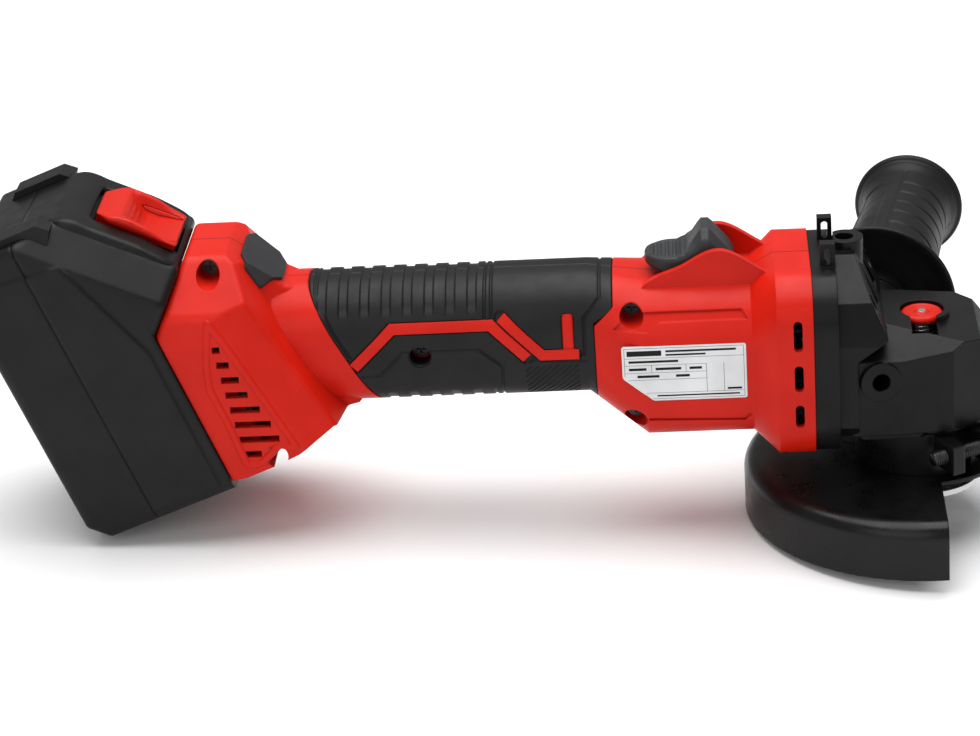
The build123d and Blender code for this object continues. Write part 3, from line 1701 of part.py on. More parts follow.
with BuildPart() as cell_holder:
    for side in (-1, 1):
        with BuildSketch(pack_side.offset(side * 22.0 - 2.0)):
            with Locations((22.6, 51.0)):
                Rectangle(40.0, 97.0)
            with Locations(*cell_places):
                Circle(cell_radius + 0.02, mode=Mode.SUBTRACT)
        extrude(amount=4.0)
    add(pack_form(pack_wall + 0.1), mode=Mode.INTERSECT)
save(cell_holder, "cell_holder")

bumper_y = 26.5
bumper_width = 11.0
bumper_height = 2.6
with BuildPart() as pack_bumpers:
    for side in (-1, 1):
        with BuildSketch(pack_side.offset(side * bumper_y - bumper_width / 2)):
            with BuildLine():
                Polyline(
                    (15.5, pack_length - 6.0),
                    (15.5, pack_length - 0.6),
                    (18.5, pack_length + bumper_height),
                    (37.5, pack_length + bumper_height),
                    (41.5, pack_length - 1.0),
                    (38.0, pack_length - 6.0),
                    close=True,
                )
            make_face()
        extrude(amount=bumper_width)
    add(pack_solid.part, mode=Mode.SUBTRACT)
save(pack_bumpers, "pack_bumpers")

# ---------------------------------------------------------------- pack latch
latch_thickness = 5.4
latch_proud = 0.6
spring_radius = 3.0
spring_height = 3.3
spring_along = 8.5

with BuildPart() as latch_button:
    with BuildSketch(across_pack(latch_q + latch_proud)):
        RectangleRounded(2 * latch_half, latch_length, 1.2)
    extrude(amount=-latch_thickness)
    # finger scoop across the front half
    with BuildSketch(
        Plane(
            origin=pack_origin + latch_dir * (latch_q + 9.0) + slope_along * (latch_w + 7.0),
            x_dir=slope_along,
            z_dir=(0, 1, 0),
        )
    ):
        Circle(11.0)
    extrude(amount=latch_half - 2.0, both=True, mode=Mode.SUBTRACT)
    # pocket round the spring
    with BuildSketch(across_pack(latch_q + latch_proud - latch_thickness - 1)):
        with Locations((0, spring_along)):
            Circle(spring_radius + 1.0)
    extrude(amount=1 + latch_travel + 0.6, mode=Mode.SUBTRACT)
save(latch_button, "latch_button")

with BuildPart() as latch_spring:
    with BuildSketch(across_pack(latch_floor_q)):
        with Locations((0, spring_along)):
            Circle(spring_radius)
            Circle(spring_radius - 0.8, mode=Mode.SUBTRACT)
    extrude(amount=spring_height)
save(latch_spring, "latch_spring")

# ---------------------------------------------------------------- driver electronics
driver_length = 44.0
driver_low_s = 17.0
with BuildPart() as driver_board:
    with BuildSketch(pack_face(foot_back_t)):
        with Locations((0, driver_low_s + driver_length / 2)):
            RectangleRounded(2 * tongue_head + 2, driver_length, 1.5)
    extrude(amount=1.6)
save(driver_board, "driver_board")

with BuildPart() as driver_heat_sink:
    with BuildSketch(pack_face(foot_back_t + 1.6)):
        with Locations((0, driver_low_s + driver_length / 2)):
            Rectangle(36.0, 34.0)
    extrude(amount=2.0)
    with BuildSketch(pack_face(foot_back_t + 3.6)):
        with Locations((0, driver_low_s + driver_length / 2)):
            with GridLocations(4.25, 0, 9, 1):
                Rectangle(1.4, 34.0)
    extrude(amount=5.0)
save(driver_heat_sink, "driver_heat_sink")

blade_thickness = 0.8
with BuildPart() as terminal_block:
    terminal_box(0.0)
    with BuildSketch(pack_face(blade_t - 1.6)):
        with Locations(*[(y, channel_start_s + 8.0) for y in blade_places]):
            Rectangle(blade_thickness, 16.4)
    extrude(amount=3.2)
save(terminal_block, "terminal_block")
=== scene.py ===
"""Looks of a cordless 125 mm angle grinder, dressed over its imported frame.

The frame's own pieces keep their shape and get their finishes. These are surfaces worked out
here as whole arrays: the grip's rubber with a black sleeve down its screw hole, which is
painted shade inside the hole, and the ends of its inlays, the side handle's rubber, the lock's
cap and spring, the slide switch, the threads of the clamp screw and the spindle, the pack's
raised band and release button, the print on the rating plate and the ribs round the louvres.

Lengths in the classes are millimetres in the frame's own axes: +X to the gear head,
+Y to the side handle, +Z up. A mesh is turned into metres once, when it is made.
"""

from __future__ import annotations

import json
import logging
from dataclasses import dataclass
from enum import Enum

import bpy
import numpy as np
from mathutils import Matrix

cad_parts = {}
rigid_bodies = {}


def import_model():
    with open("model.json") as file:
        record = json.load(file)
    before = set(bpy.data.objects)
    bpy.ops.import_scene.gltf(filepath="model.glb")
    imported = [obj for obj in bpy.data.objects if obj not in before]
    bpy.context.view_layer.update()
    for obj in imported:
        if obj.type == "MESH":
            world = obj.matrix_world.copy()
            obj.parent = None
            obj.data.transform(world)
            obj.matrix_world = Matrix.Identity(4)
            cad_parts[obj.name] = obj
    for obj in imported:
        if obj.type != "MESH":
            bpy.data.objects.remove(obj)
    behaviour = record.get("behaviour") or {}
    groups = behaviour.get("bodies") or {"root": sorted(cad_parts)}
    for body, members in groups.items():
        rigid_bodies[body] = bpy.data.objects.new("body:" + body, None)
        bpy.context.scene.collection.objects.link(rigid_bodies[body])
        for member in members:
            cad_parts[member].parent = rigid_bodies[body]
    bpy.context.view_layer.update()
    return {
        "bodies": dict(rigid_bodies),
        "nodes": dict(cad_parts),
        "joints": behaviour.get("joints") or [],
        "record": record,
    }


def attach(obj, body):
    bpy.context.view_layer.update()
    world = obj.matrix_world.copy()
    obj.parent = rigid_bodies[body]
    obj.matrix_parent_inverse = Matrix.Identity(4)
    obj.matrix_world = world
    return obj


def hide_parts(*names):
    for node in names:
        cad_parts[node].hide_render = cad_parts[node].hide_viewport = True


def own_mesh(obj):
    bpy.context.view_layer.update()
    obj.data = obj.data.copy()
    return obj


LOG = logging.getLogger("grinder")
MM = 0.001
Array = np.ndarray
Line = tuple[tuple[float, float], ...]

# The battery pack stands tilted on its lower corner. Depths run forward from that corner.
PACK_TILT = 21.0
PACK_CORNER = (-309.5, 0.5)
PACK_SEAM = 27.0
# Its slanted face, as a distance from the corner, and the latch's place down that face.
SLOPE_FACE = 112.22
LATCH_MIDDLE = -24.0


class Side(Enum):
    """The two sides of the middle plane."""

    RIGHT = -1
    LEFT = 1


# ------------------------------------------------------------------ shapes in formulas


def smooth_step(low: float, high: float, value: Array) -> Array:
    """Rises from 0 at low to 1 at high as 3k^2 - 2k^3.

    Args:
        low: Where the rise starts.
        high: Where it ends.
        value: The values to map.

    Returns:
        The share of the rise at each value.
    """
    share = np.clip((value - low) / (high - low), 0.0, 1.0)
    return share * share * (3.0 - 2.0 * share)


def smooth_fall(low: float, high: float, value: Array) -> Array:
    """Falls from 1 at low to 0 at high, as 1 less the smooth step."""
    return 1.0 - smooth_step(low, high, value)


def line_distance(across: Array, up: Array, line: Line) -> Array:
    """Distance of each point to a broken line, the least over its straight stretches.

    Args:
        across: First coordinates, any shape.
        up: Second coordinates, the same shape.
        line: The corners of the broken line.

    Returns:
        The distances, in the shape of the coordinates.
    """
    points = np.stack([across, up], axis=-1)[..., None, :]
    corners = np.asarray(line, dtype=float)
    start, run = corners[:-1], np.diff(corners, axis=0)
    share = np.clip(((points - start) * run).sum(-1) / (run * run).sum(-1), 0.0, 1.0)
    return np.linalg.norm(points - start - share[..., None] * run, axis=-1).min(-1)


def inside(across: Array, up: Array, ring: Line) -> Array:
    """Whether each point lies in a closed outline, by counting the edges above it.

    Args:
        across: First coordinates, any shape.
        up: Second coordinates, the same shape.
        ring: The corners of the outline, in order.

    Returns:
        True where an odd number of edges passes above the point.
    """
    corners = np.asarray(ring, dtype=float)
    start, end = corners, np.roll(corners, -1, axis=0)
    x, z = across[..., None], up[..., None]
    spans = (start[:, 0] > x) != (end[:, 0] > x)
    run = np.where(end[:, 0] == start[:, 0], 1.0, end[:, 0] - start[:, 0])
    edge = start[:, 1] + (x - start[:, 0]) * (end[:, 1] - start[:, 1]) / run
    return (spans & (edge > z)).sum(-1) % 2 == 1


def walked_length(line: Array) -> Array:
    """The length walked along a broken line up to each of its points."""
    return np.concatenate([[0.0], np.cumsum(np.linalg.norm(np.diff(line, axis=0), axis=1))])


def points_at(line: Array, place: Array) -> Array:
    """Points (..., 2) at walked lengths along a broken line."""
    length = walked_length(line)
    return np.stack([np.interp(place, length, line[:, column]) for column in (0, 1)], axis=-1)


def rounded_rectangle(
    width: float, height: float, corner: float, middle: float, share: Array
) -> Array:
    """Points (y, z) round a rounded rectangle, at shares of its length from the bottom middle.

    The outline is four quarter circles joined by straight runs, walked at an even pace.

    Args:
        width: Full width along Y.
        height: Full height along Z.
        corner: Corner radius.
        middle: Height of the centre.
        share: Where along the outline, 0 to 1; it climbs the -Y side first.

    Returns:
        An array (..., 2) of y and z.
    """
    turn = np.linspace(0.0, np.pi / 2, 25)
    quarter = corner * np.stack([np.sin(turn), -np.cos(turn)], axis=-1)
    reach = np.array([width / 2 - corner, -(height / 2 - corner)])
    lower = quarter + reach
    upper = lower[::-1] * [1.0, -1.0]
    half = np.concatenate([[[0.0, -height / 2]], lower, upper, [[0.0, height / 2]]])
    line = np.concatenate([half * [-1.0, 1.0], half[::-1][1:]])
    return points_at(line, np.asarray(share) * walked_length(line)[-1]) + [0.0, middle]


def grid_quads(rows: int, columns: int, closed: bool = False, looped: bool = False) -> Array:
    """The four corner numbers of every cell of a grid of points.

    Args:
        rows: Points along the first direction.
        columns: Points along the second.
        closed: Whether the last column joins the first.
        looped: Whether the last row joins the first.

    Returns:
        An array (cells, 4), with each cell's corners in order.
    """
    numbers = np.arange(rows * columns).reshape(rows, columns)
    if closed:
        numbers = np.concatenate([numbers, numbers[:, :1]], axis=1)
    if looped:
        numbers = np.concatenate([numbers, numbers[:1]])
    a, b = numbers[:-1, :-1], numbers[:-1, 1:]
    c, d = numbers[1:, 1:], numbers[1:, :-1]
    return np.stack([a, b, c, d], axis=-1).reshape(-1, 4)


def around_z(radius: Array, turn: Array, height: Array) -> Array:
    """Points (..., 3) at radii and angles about the Z axis, and at heights along it."""
    return np.stack(np.broadcast_arrays(radius * np.cos(turn), radius * np.sin(turn), height), axis=-1)


def turned_profile(profile: Array, angles: int) -> tuple[Array, Array]:
    """Carries a profile of (radius, height) round the Z axis.

    Args:
        profile: Points (n, 2) from one pole or rim to the other.
        angles: Steps round the axis.

    Returns:
        Points (n, angles, 3) and the quads between them.
    """
    turn = np.linspace(0.0, 2 * np.pi, angles, endpoint=False)
    points = around_z(profile[:, :1], turn, profile[:, 1:])
    return points, grid_quads(len(profile), angles, closed=True)


def smooth_line(corners: Line, count: int) -> Array:
    """Points along a broken line with its corners eased by a running mean.

    Args:
        corners: The broken line's corners.
        count: How many points to give.

    Returns:
        Points (count, 2), the two ends kept.
    """
    line = np.asarray(corners, dtype=float)
    even = points_at(line, np.linspace(0.0, walked_length(line)[-1], count))
    reach = 2
    window = 2 * reach + 1
    padded = np.pad(even, ((reach, reach), (0, 0)), mode="edge")
    eased = sum(padded[k : k + count] for k in range(window)) / window
    eased[0], eased[-1] = even[0], even[-1]
    return eased


# ------------------------------------------------------------------ pieces


def linked(name: str, data: bpy.types.ID) -> bpy.types.Object:
    """Makes an object and links it to the scene.

    Args:
        name: The object's name.
        data: Its mesh, lamp or camera.

    Returns:
        The new object.
    """
    obj = bpy.data.objects.new(name, data)
    bpy.context.scene.collection.objects.link(obj)
    return obj


@dataclass
class Piece:
    """A finished mesh object, riding on a body.

    Attributes:
        name: The object's name.
        body: The body that it moves with.
        slot: The record's material slot that it takes its finish from.
        replaces: Frame nodes that it stands for.
        smooth: Whether its faces are shaded smooth.
        finish: The finish that it wears, where that isn't its slot's own.
    """

    name: str
    body: str
    slot: str
    replaces: tuple[str, ...] = ()
    smooth: bool = True
    finish: str = ""

    def build(self, points: Array, faces: Array, palette: Palette) -> bpy.types.Object:
        """Makes the mesh from whole arrays and hands it to the frame.

        Args:
            points: Corner places in millimetres, (..., 3).
            faces: Corner numbers, (faces, 4).
            palette: Hands out the finishes.

        Returns:
            The new object.
        """
        material = palette[self.finish or self.slot]
        flat = np.ascontiguousarray(points.reshape(-1, 3) * MM, dtype=np.float32)
        mesh = bpy.data.meshes.new(self.name)
        mesh.vertices.add(len(flat))
        mesh.vertices.foreach_set("co", flat.ravel())
        mesh.loops.add(faces.size)
        mesh.loops.foreach_set("vertex_index", faces.astype(np.int32).ravel())
        mesh.polygons.add(len(faces))
        starts = np.arange(len(faces), dtype=np.int32) * faces.shape[1]
        mesh.polygons.foreach_set("loop_start", starts)
        mesh.polygons.foreach_set("use_smooth", np.full(len(faces), self.smooth))
        mesh.update(calc_edges=True)
        mesh.validate()
        obj = linked(self.name, mesh)
        mesh.materials.append(material)
        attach(obj, self.body)
        if self.replaces:
            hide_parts(*self.replaces)
        LOG.info("%s: %d faces on %s", self.name, len(faces), self.body)
        return obj


def joined(*parts: tuple[Array, Array]) -> tuple[Array, Array]:
    """Puts several point grids and their quads into one pair of arrays.

    Args:
        parts: Pairs of points (..., 3) and quads (n, 4).

    Returns:
        All the points and all the quads, renumbered.
    """
    points = [part[0].reshape(-1, 3) for part in parts]
    offsets = np.cumsum([0] + [len(block) for block in points[:-1]])
    quads = [part[1] + start for part, start in zip(parts, offsets)]
    return np.concatenate(points), np.concatenate(quads)


# ------------------------------------------------------------------ finishes


class Board:
    """Adds shader nodes to one material, a call for each."""

    def __init__(self, name: str) -> None:
        """Starts an empty material with its output and its principled shader.

        Args:
            name: The material's name.
        """
        self.material = bpy.data.materials.new(name)
        self.material.use_nodes = True
        self.tree = self.material.node_tree
        self.shader = self.tree.nodes["Principled BSDF"]

    def node(self, kind: str, **settings: object) -> bpy.types.Node:
        """Adds a node.

        Args:
            kind: The node's type.
            settings: Properties to set on it.

        Returns:
            The new node.
        """
        made = self.tree.nodes.new(kind)
        for key, value in settings.items():
            setattr(made, key, value)
        return made

    def put(self, socket: bpy.types.NodeSocket, value: object) -> None:
        """Links a socket to a socket, or sets it to a number.

        Args:
            socket: The input.
            value: An output to link, or a value.
        """
        if isinstance(value, bpy.types.NodeSocket):
            self.tree.links.new(value, socket)
        else:
            socket.default_value = value

    def math(self, operation: str, first: object, second: object = 0.0) -> bpy.types.NodeSocket:
        """The result of a math node.

        Args:
            operation: What it works out.
            first: A number or a socket.
            second: Another.

        Returns:
            The result's socket.
        """
        made = self.node("ShaderNodeMath", operation=operation)
        for socket, value in zip(made.inputs, (first, second)):
            self.put(socket, value)
        return made.outputs[0]

    def place(self) -> bpy.types.NodeSocket:
        """Object coordinates, in metres."""
        return self.node("ShaderNodeTexCoord").outputs["Object"]

    def along(self, direction: tuple[float, float, float], start: float = 0.0) -> bpy.types.NodeSocket:
        """How far a point lies along a direction.

        Args:
            direction: A unit direction.
            start: Where the distance is 0, in metres.

        Returns:
            The distance's socket, in metres.
        """
        made = self.node("ShaderNodeVectorMath", operation="DOT_PRODUCT")
        self.put(made.inputs[0], self.place())
        made.inputs[1].default_value = direction
        return self.math("SUBTRACT", made.outputs["Value"], start)

    def noise(self, scale: float, detail: float = 3.0) -> bpy.types.NodeSocket:
        """Noise over the object.

        Args:
            scale: Waves per metre.
            detail: How many finer waves lie on them.

        Returns:
            The noise's socket, 0 to 1.
        """
        made = self.node("ShaderNodeTexNoise")
        self.put(made.inputs["Vector"], self.place())
        made.inputs["Scale"].default_value = scale
        made.inputs["Detail"].default_value = detail
        return made.outputs["Fac"]

    def ramp(
        self, value: object, low: float, high: float, out_low: float = 0.0, out_high: float = 1.0
    ) -> bpy.types.NodeSocket:
        """Maps a range of values smoothly onto another.

        Args:
            value: A number or a socket.
            low: Where the range starts.
            high: Where it ends.
            out_low: What the start becomes.
            out_high: What the end becomes.

        Returns:
            The result's socket.
        """
        made = self.node("ShaderNodeMapRange", interpolation_type="SMOOTHSTEP")
        ends = {"From Min": low, "From Max": high, "To Min": out_low, "To Max": out_high}
        for key, number in ends.items():
            made.inputs[key].default_value = number
        self.put(made.inputs["Value"], value)
        return made.outputs["Result"]

    def blend(self, share: object, first: object, second: object) -> bpy.types.NodeSocket:
        """A colour between two others.

        Args:
            share: 0 for the first, 1 for the second.
            first: A colour or a socket.
            second: Another.

        Returns:
            The colour's socket.
        """
        made = self.node("ShaderNodeMix", data_type="RGBA")
        self.put(made.inputs["Factor"], share)
        self.put(made.inputs["A"], first)
        self.put(made.inputs["B"], second)
        return made.outputs["Result"]


# Waves per metre of the colour's clouds, of the wear on edges and of the patches of gloss.
CLOUD_SCALE, WEAR_SCALE, GLOSS_SCALE = 55.0, 900.0, 130.0
# Cosines between which a turned normal counts as an edge.
EDGE_TURN = (0.995, 0.9)
# A line's depth in metres, and its colour's share of the plain one.
LINE_DEPTH, LINE_SHADE = 0.00025, 0.15
# Turning marks: their depth in metres, and their waves per metre.
MARK_DEPTH, MARK_SCALE = 0.00001, (60.0, 60.0, 9000.0)


class Relief(Enum):
    """Patterns that a finish may carry besides its grain."""

    NONE = "plain"
    PARTING = "parting line on the middle plane"
    PACK_SEAM = "seam between the pack's two cases"
    BRUSHED = "fine turning marks"


@dataclass(frozen=True)
class Finish:
    """A moulded, painted, ground or plated surface.

    Attributes:
        name: The material's name.
        colour: Its colour in linear light.
        roughness: The shader's roughness at its middle.
        metallic: 1 for bare metal.
        grain: Depth of the surface grain in millimetres.
        grain_scale: Grains per metre.
        variation: How far the colour wanders, as a share.
        edge_radius: Radius that the edges look rounded to, in millimetres.
        edge_light: How much paler the rubbed edges are.
        shine: Strength of the reflection off the surface, 0.5 for plain plastic.
        relief: A pattern besides the grain.
    """

    name: str
    colour: tuple[float, float, float]
    roughness: float
    metallic: float = 0.0
    grain: float = 0.01
    grain_scale: float = 2500.0
    variation: float = 0.06
    edge_radius: float = 0.7
    edge_light: float = 0.05
    shine: float = 0.22
    relief: Relief = Relief.NONE

    def tone(self, share: float, lift: float = 0.0) -> tuple[float, ...]:
        """The colour times a share, plus a lift, with full opacity."""
        return (*(min(c * share + lift, 1.0) for c in self.colour), 1.0)

    def relief_height(self, board: Board) -> object:
        """The pattern's height, 0 on the surface and -1 at its deepest.

        Args:
            board: The material in the making.

        Returns:
            A socket, or 0 where there is no pattern.
        """
        if self.relief is Relief.PARTING:
            off = board.math("ABSOLUTE", board.along((0.0, 1.0, 0.0)))
            return board.ramp(off, 0.00008, 0.00022, -1.0, 0.0)
        if self.relief is Relief.PACK_SEAM:
            tilt = np.radians(PACK_TILT)
            direction = (float(np.cos(tilt)), 0.0, float(np.sin(tilt)))
            start = PACK_CORNER[0] * direction[0] + PACK_CORNER[1] * direction[2] + PACK_SEAM
            off = board.math("ABSOLUTE", board.along(direction, start * MM))
            return board.ramp(off, 0.00012, 0.0003, -1.0, 0.0)
        return 0.0

    def surface_colour(self, board: Board, bevel: bpy.types.Node) -> bpy.types.NodeSocket:
        """The wandering colour, paler where the rounded normal leaves the flat one.

        Args:
            board: The material in the making.
            bevel: Its node of rounded edges.

        Returns:
            The colour's socket.
        """
        rubbed = (*(min(c + self.edge_light * (0.35 + 0.65 * c), 1.0) for c in self.colour), 1.0)
        clouds = board.ramp(board.noise(CLOUD_SCALE, 4.0), 0.35, 0.65)
        dark, pale = self.tone(1.0 - self.variation), self.tone(1.0 + self.variation, 0.001)
        plain = board.blend(clouds, dark, pale)
        flat = board.node("ShaderNodeNewGeometry")
        turned = board.node("ShaderNodeVectorMath", operation="DOT_PRODUCT")
        board.put(turned.inputs[0], bevel.outputs["Normal"])
        board.put(turned.inputs[1], flat.outputs["Normal"])
        on_edge = board.ramp(turned.outputs["Value"], *EDGE_TURN)
        worn = board.math("MULTIPLY", on_edge, board.noise(WEAR_SCALE))
        return board.blend(board.math("MULTIPLY", worn, 0.5), plain, rubbed)

    def turning_marks(self, board: Board) -> bpy.types.NodeSocket:
        """Noise drawn out into fine rings about the Z axis.

        Args:
            board: The material in the making.

        Returns:
            The noise's socket.
        """
        stretch = board.node("ShaderNodeMapping")
        board.put(stretch.inputs["Vector"], board.place())
        stretch.inputs["Scale"].default_value = MARK_SCALE
        marks = board.node("ShaderNodeTexNoise")
        board.put(marks.inputs["Vector"], stretch.outputs["Vector"])
        marks.inputs["Scale"].default_value = 1.0
        return marks.outputs["Fac"]

    def material(self) -> bpy.types.Material:
        """The finish as a material: grain, wandering colour, rounded and rubbed edges.

        Returns:
            The new material.
        """
        board = Board(self.name)
        bevel = board.node("ShaderNodeBevel", samples=4)
        bevel.inputs["Radius"].default_value = self.edge_radius * MM
        colour = self.surface_colour(board, bevel)
        height = board.math("MULTIPLY", board.noise(self.grain_scale), self.grain * MM)
        relief = self.relief_height(board)
        if relief != 0.0:
            height = board.math("ADD", height, board.math("MULTIPLY", relief, LINE_DEPTH))
            colour = board.blend(board.math("MULTIPLY", relief, -0.75), colour, self.tone(LINE_SHADE))
        if self.relief is Relief.BRUSHED:
            marks = board.math("MULTIPLY", self.turning_marks(board), MARK_DEPTH)
            height = board.math("ADD", height, marks)
        bump = board.node("ShaderNodeBump")
        bump.inputs["Strength"].default_value = 1.0
        bump.inputs["Distance"].default_value = 1.0
        board.put(bump.inputs["Height"], height)
        board.put(bump.inputs["Normal"], bevel.outputs["Normal"])
        board.put(board.shader.inputs["Normal"], bump.outputs["Normal"])
        board.put(board.shader.inputs["Base Color"], colour)
        patches = board.noise(GLOSS_SCALE, 5.0)
        spread = board.ramp(patches, 0.3, 0.7, self.roughness - 0.05, self.roughness + 0.06)
        board.put(board.shader.inputs["Roughness"], spread)
        board.shader.inputs["Metallic"].default_value = self.metallic
        board.shader.inputs["Specular IOR Level"].default_value = self.shine
        board.material.diffuse_color = (*self.colour, 1.0)
        return board.material


FINISHES = {
    "red_plastic": Finish(
        "moulded red plastic", (0.53, 0.010, 0.003), 0.38,
        relief=Relief.PARTING, variation=0.04, shine=0.15,
    ),
    "red_button": Finish("moulded red button", (0.50, 0.010, 0.003), 0.36, variation=0.04, shine=0.16),
    "case_black": Finish(
        "black case paint", (0.0035, 0.0035, 0.0035), 0.32,
        grain=0.014, grain_scale=1500.0, shine=0.16, edge_light=0.03,
    ),
    "dark_plastic": Finish(
        "black moulded plastic", (0.004, 0.004, 0.004), 0.40, shine=0.16, edge_light=0.03
    ),
    "black_rubber": Finish(
        "black grip rubber", (0.006, 0.006, 0.006), 0.48, grain=0.012, edge_radius=0.4, shine=0.20
    ),
    "grey_rubber": Finish("dark grey rubber", (0.024, 0.024, 0.026), 0.55),
    "slider_grey": Finish("dark grey slider", (0.030, 0.031, 0.033), 0.45),
    "pack_plastic": Finish(
        "black pack plastic", (0.004, 0.004, 0.004), 0.38,
        edge_radius=2.4, relief=Relief.PACK_SEAM, shine=0.20,
    ),
    "guard_paint": Finish(
        "black guard paint", (0.003, 0.003, 0.003), 0.30, edge_radius=1.0, grain_scale=1200.0
    ),
    "screw_steel": Finish(
        "blackened steel", (0.05, 0.05, 0.052), 0.38, metallic=1.0, edge_light=0.3, edge_radius=0.3
    ),
    "bright_steel": Finish(
        "ground steel", (0.56, 0.56, 0.57), 0.28, metallic=1.0, relief=Relief.BRUSHED, edge_radius=0.3
    ),
    "label_silver": Finish(
        "silver label foil", (0.60, 0.61, 0.62), 0.34, metallic=0.55, grain=0.003, edge_radius=0.1
    ),
    "lamination": Finish(
        "stacked sheet steel", (0.28, 0.28, 0.29), 0.42, metallic=1.0, relief=Relief.BRUSHED
    ),
    "copper_wire": Finish(
        "enamelled copper", (0.50, 0.16, 0.05), 0.30, metallic=1.0, grain=0.05, grain_scale=900.0
    ),
    "bronze": Finish("sintered bronze", (0.42, 0.27, 0.10), 0.42, metallic=1.0),
    "magnet": Finish("nickel plate", (0.52, 0.51, 0.50), 0.22, metallic=1.0, edge_radius=0.2),
    "heat_sink": Finish("extruded aluminium", (0.58, 0.58, 0.59), 0.38, metallic=1.0, edge_radius=0.2),
    "board_green": Finish("solder mask", (0.012, 0.09, 0.03), 0.30, edge_radius=0.1),
    "cell_wrap": Finish("cell sleeve", (0.02, 0.14, 0.28), 0.25, edge_radius=0.5),
    "nickel": Finish("nickel strip", (0.55, 0.54, 0.50), 0.30, metallic=1.0, edge_radius=0.1),
}


class Palette:
    """Makes each finish once and hands it out by its slot."""

    def __init__(self) -> None:
        """Starts with no material made."""
        self.made: dict[str, bpy.types.Material] = {}

    def __getitem__(self, slot: str) -> bpy.types.Material:
        """The material of a slot."""
        if slot not in self.made:
            self.made[slot] = FINISHES[slot].material()
        return self.made[slot]

    def dress(self, frame: dict) -> None:
        """Gives every frame node the finish of its slot.

        Args:
            frame: The loaded frame.
        """
        for part in frame["record"]["subparts"]:
            node = frame["nodes"][part["node"]]
            node.data.materials.clear()
            node.data.materials.append(self[part["material_slot"]])
        LOG.info("dressed %d frame nodes", len(frame["nodes"]))


# ------------------------------------------------------------------ grip


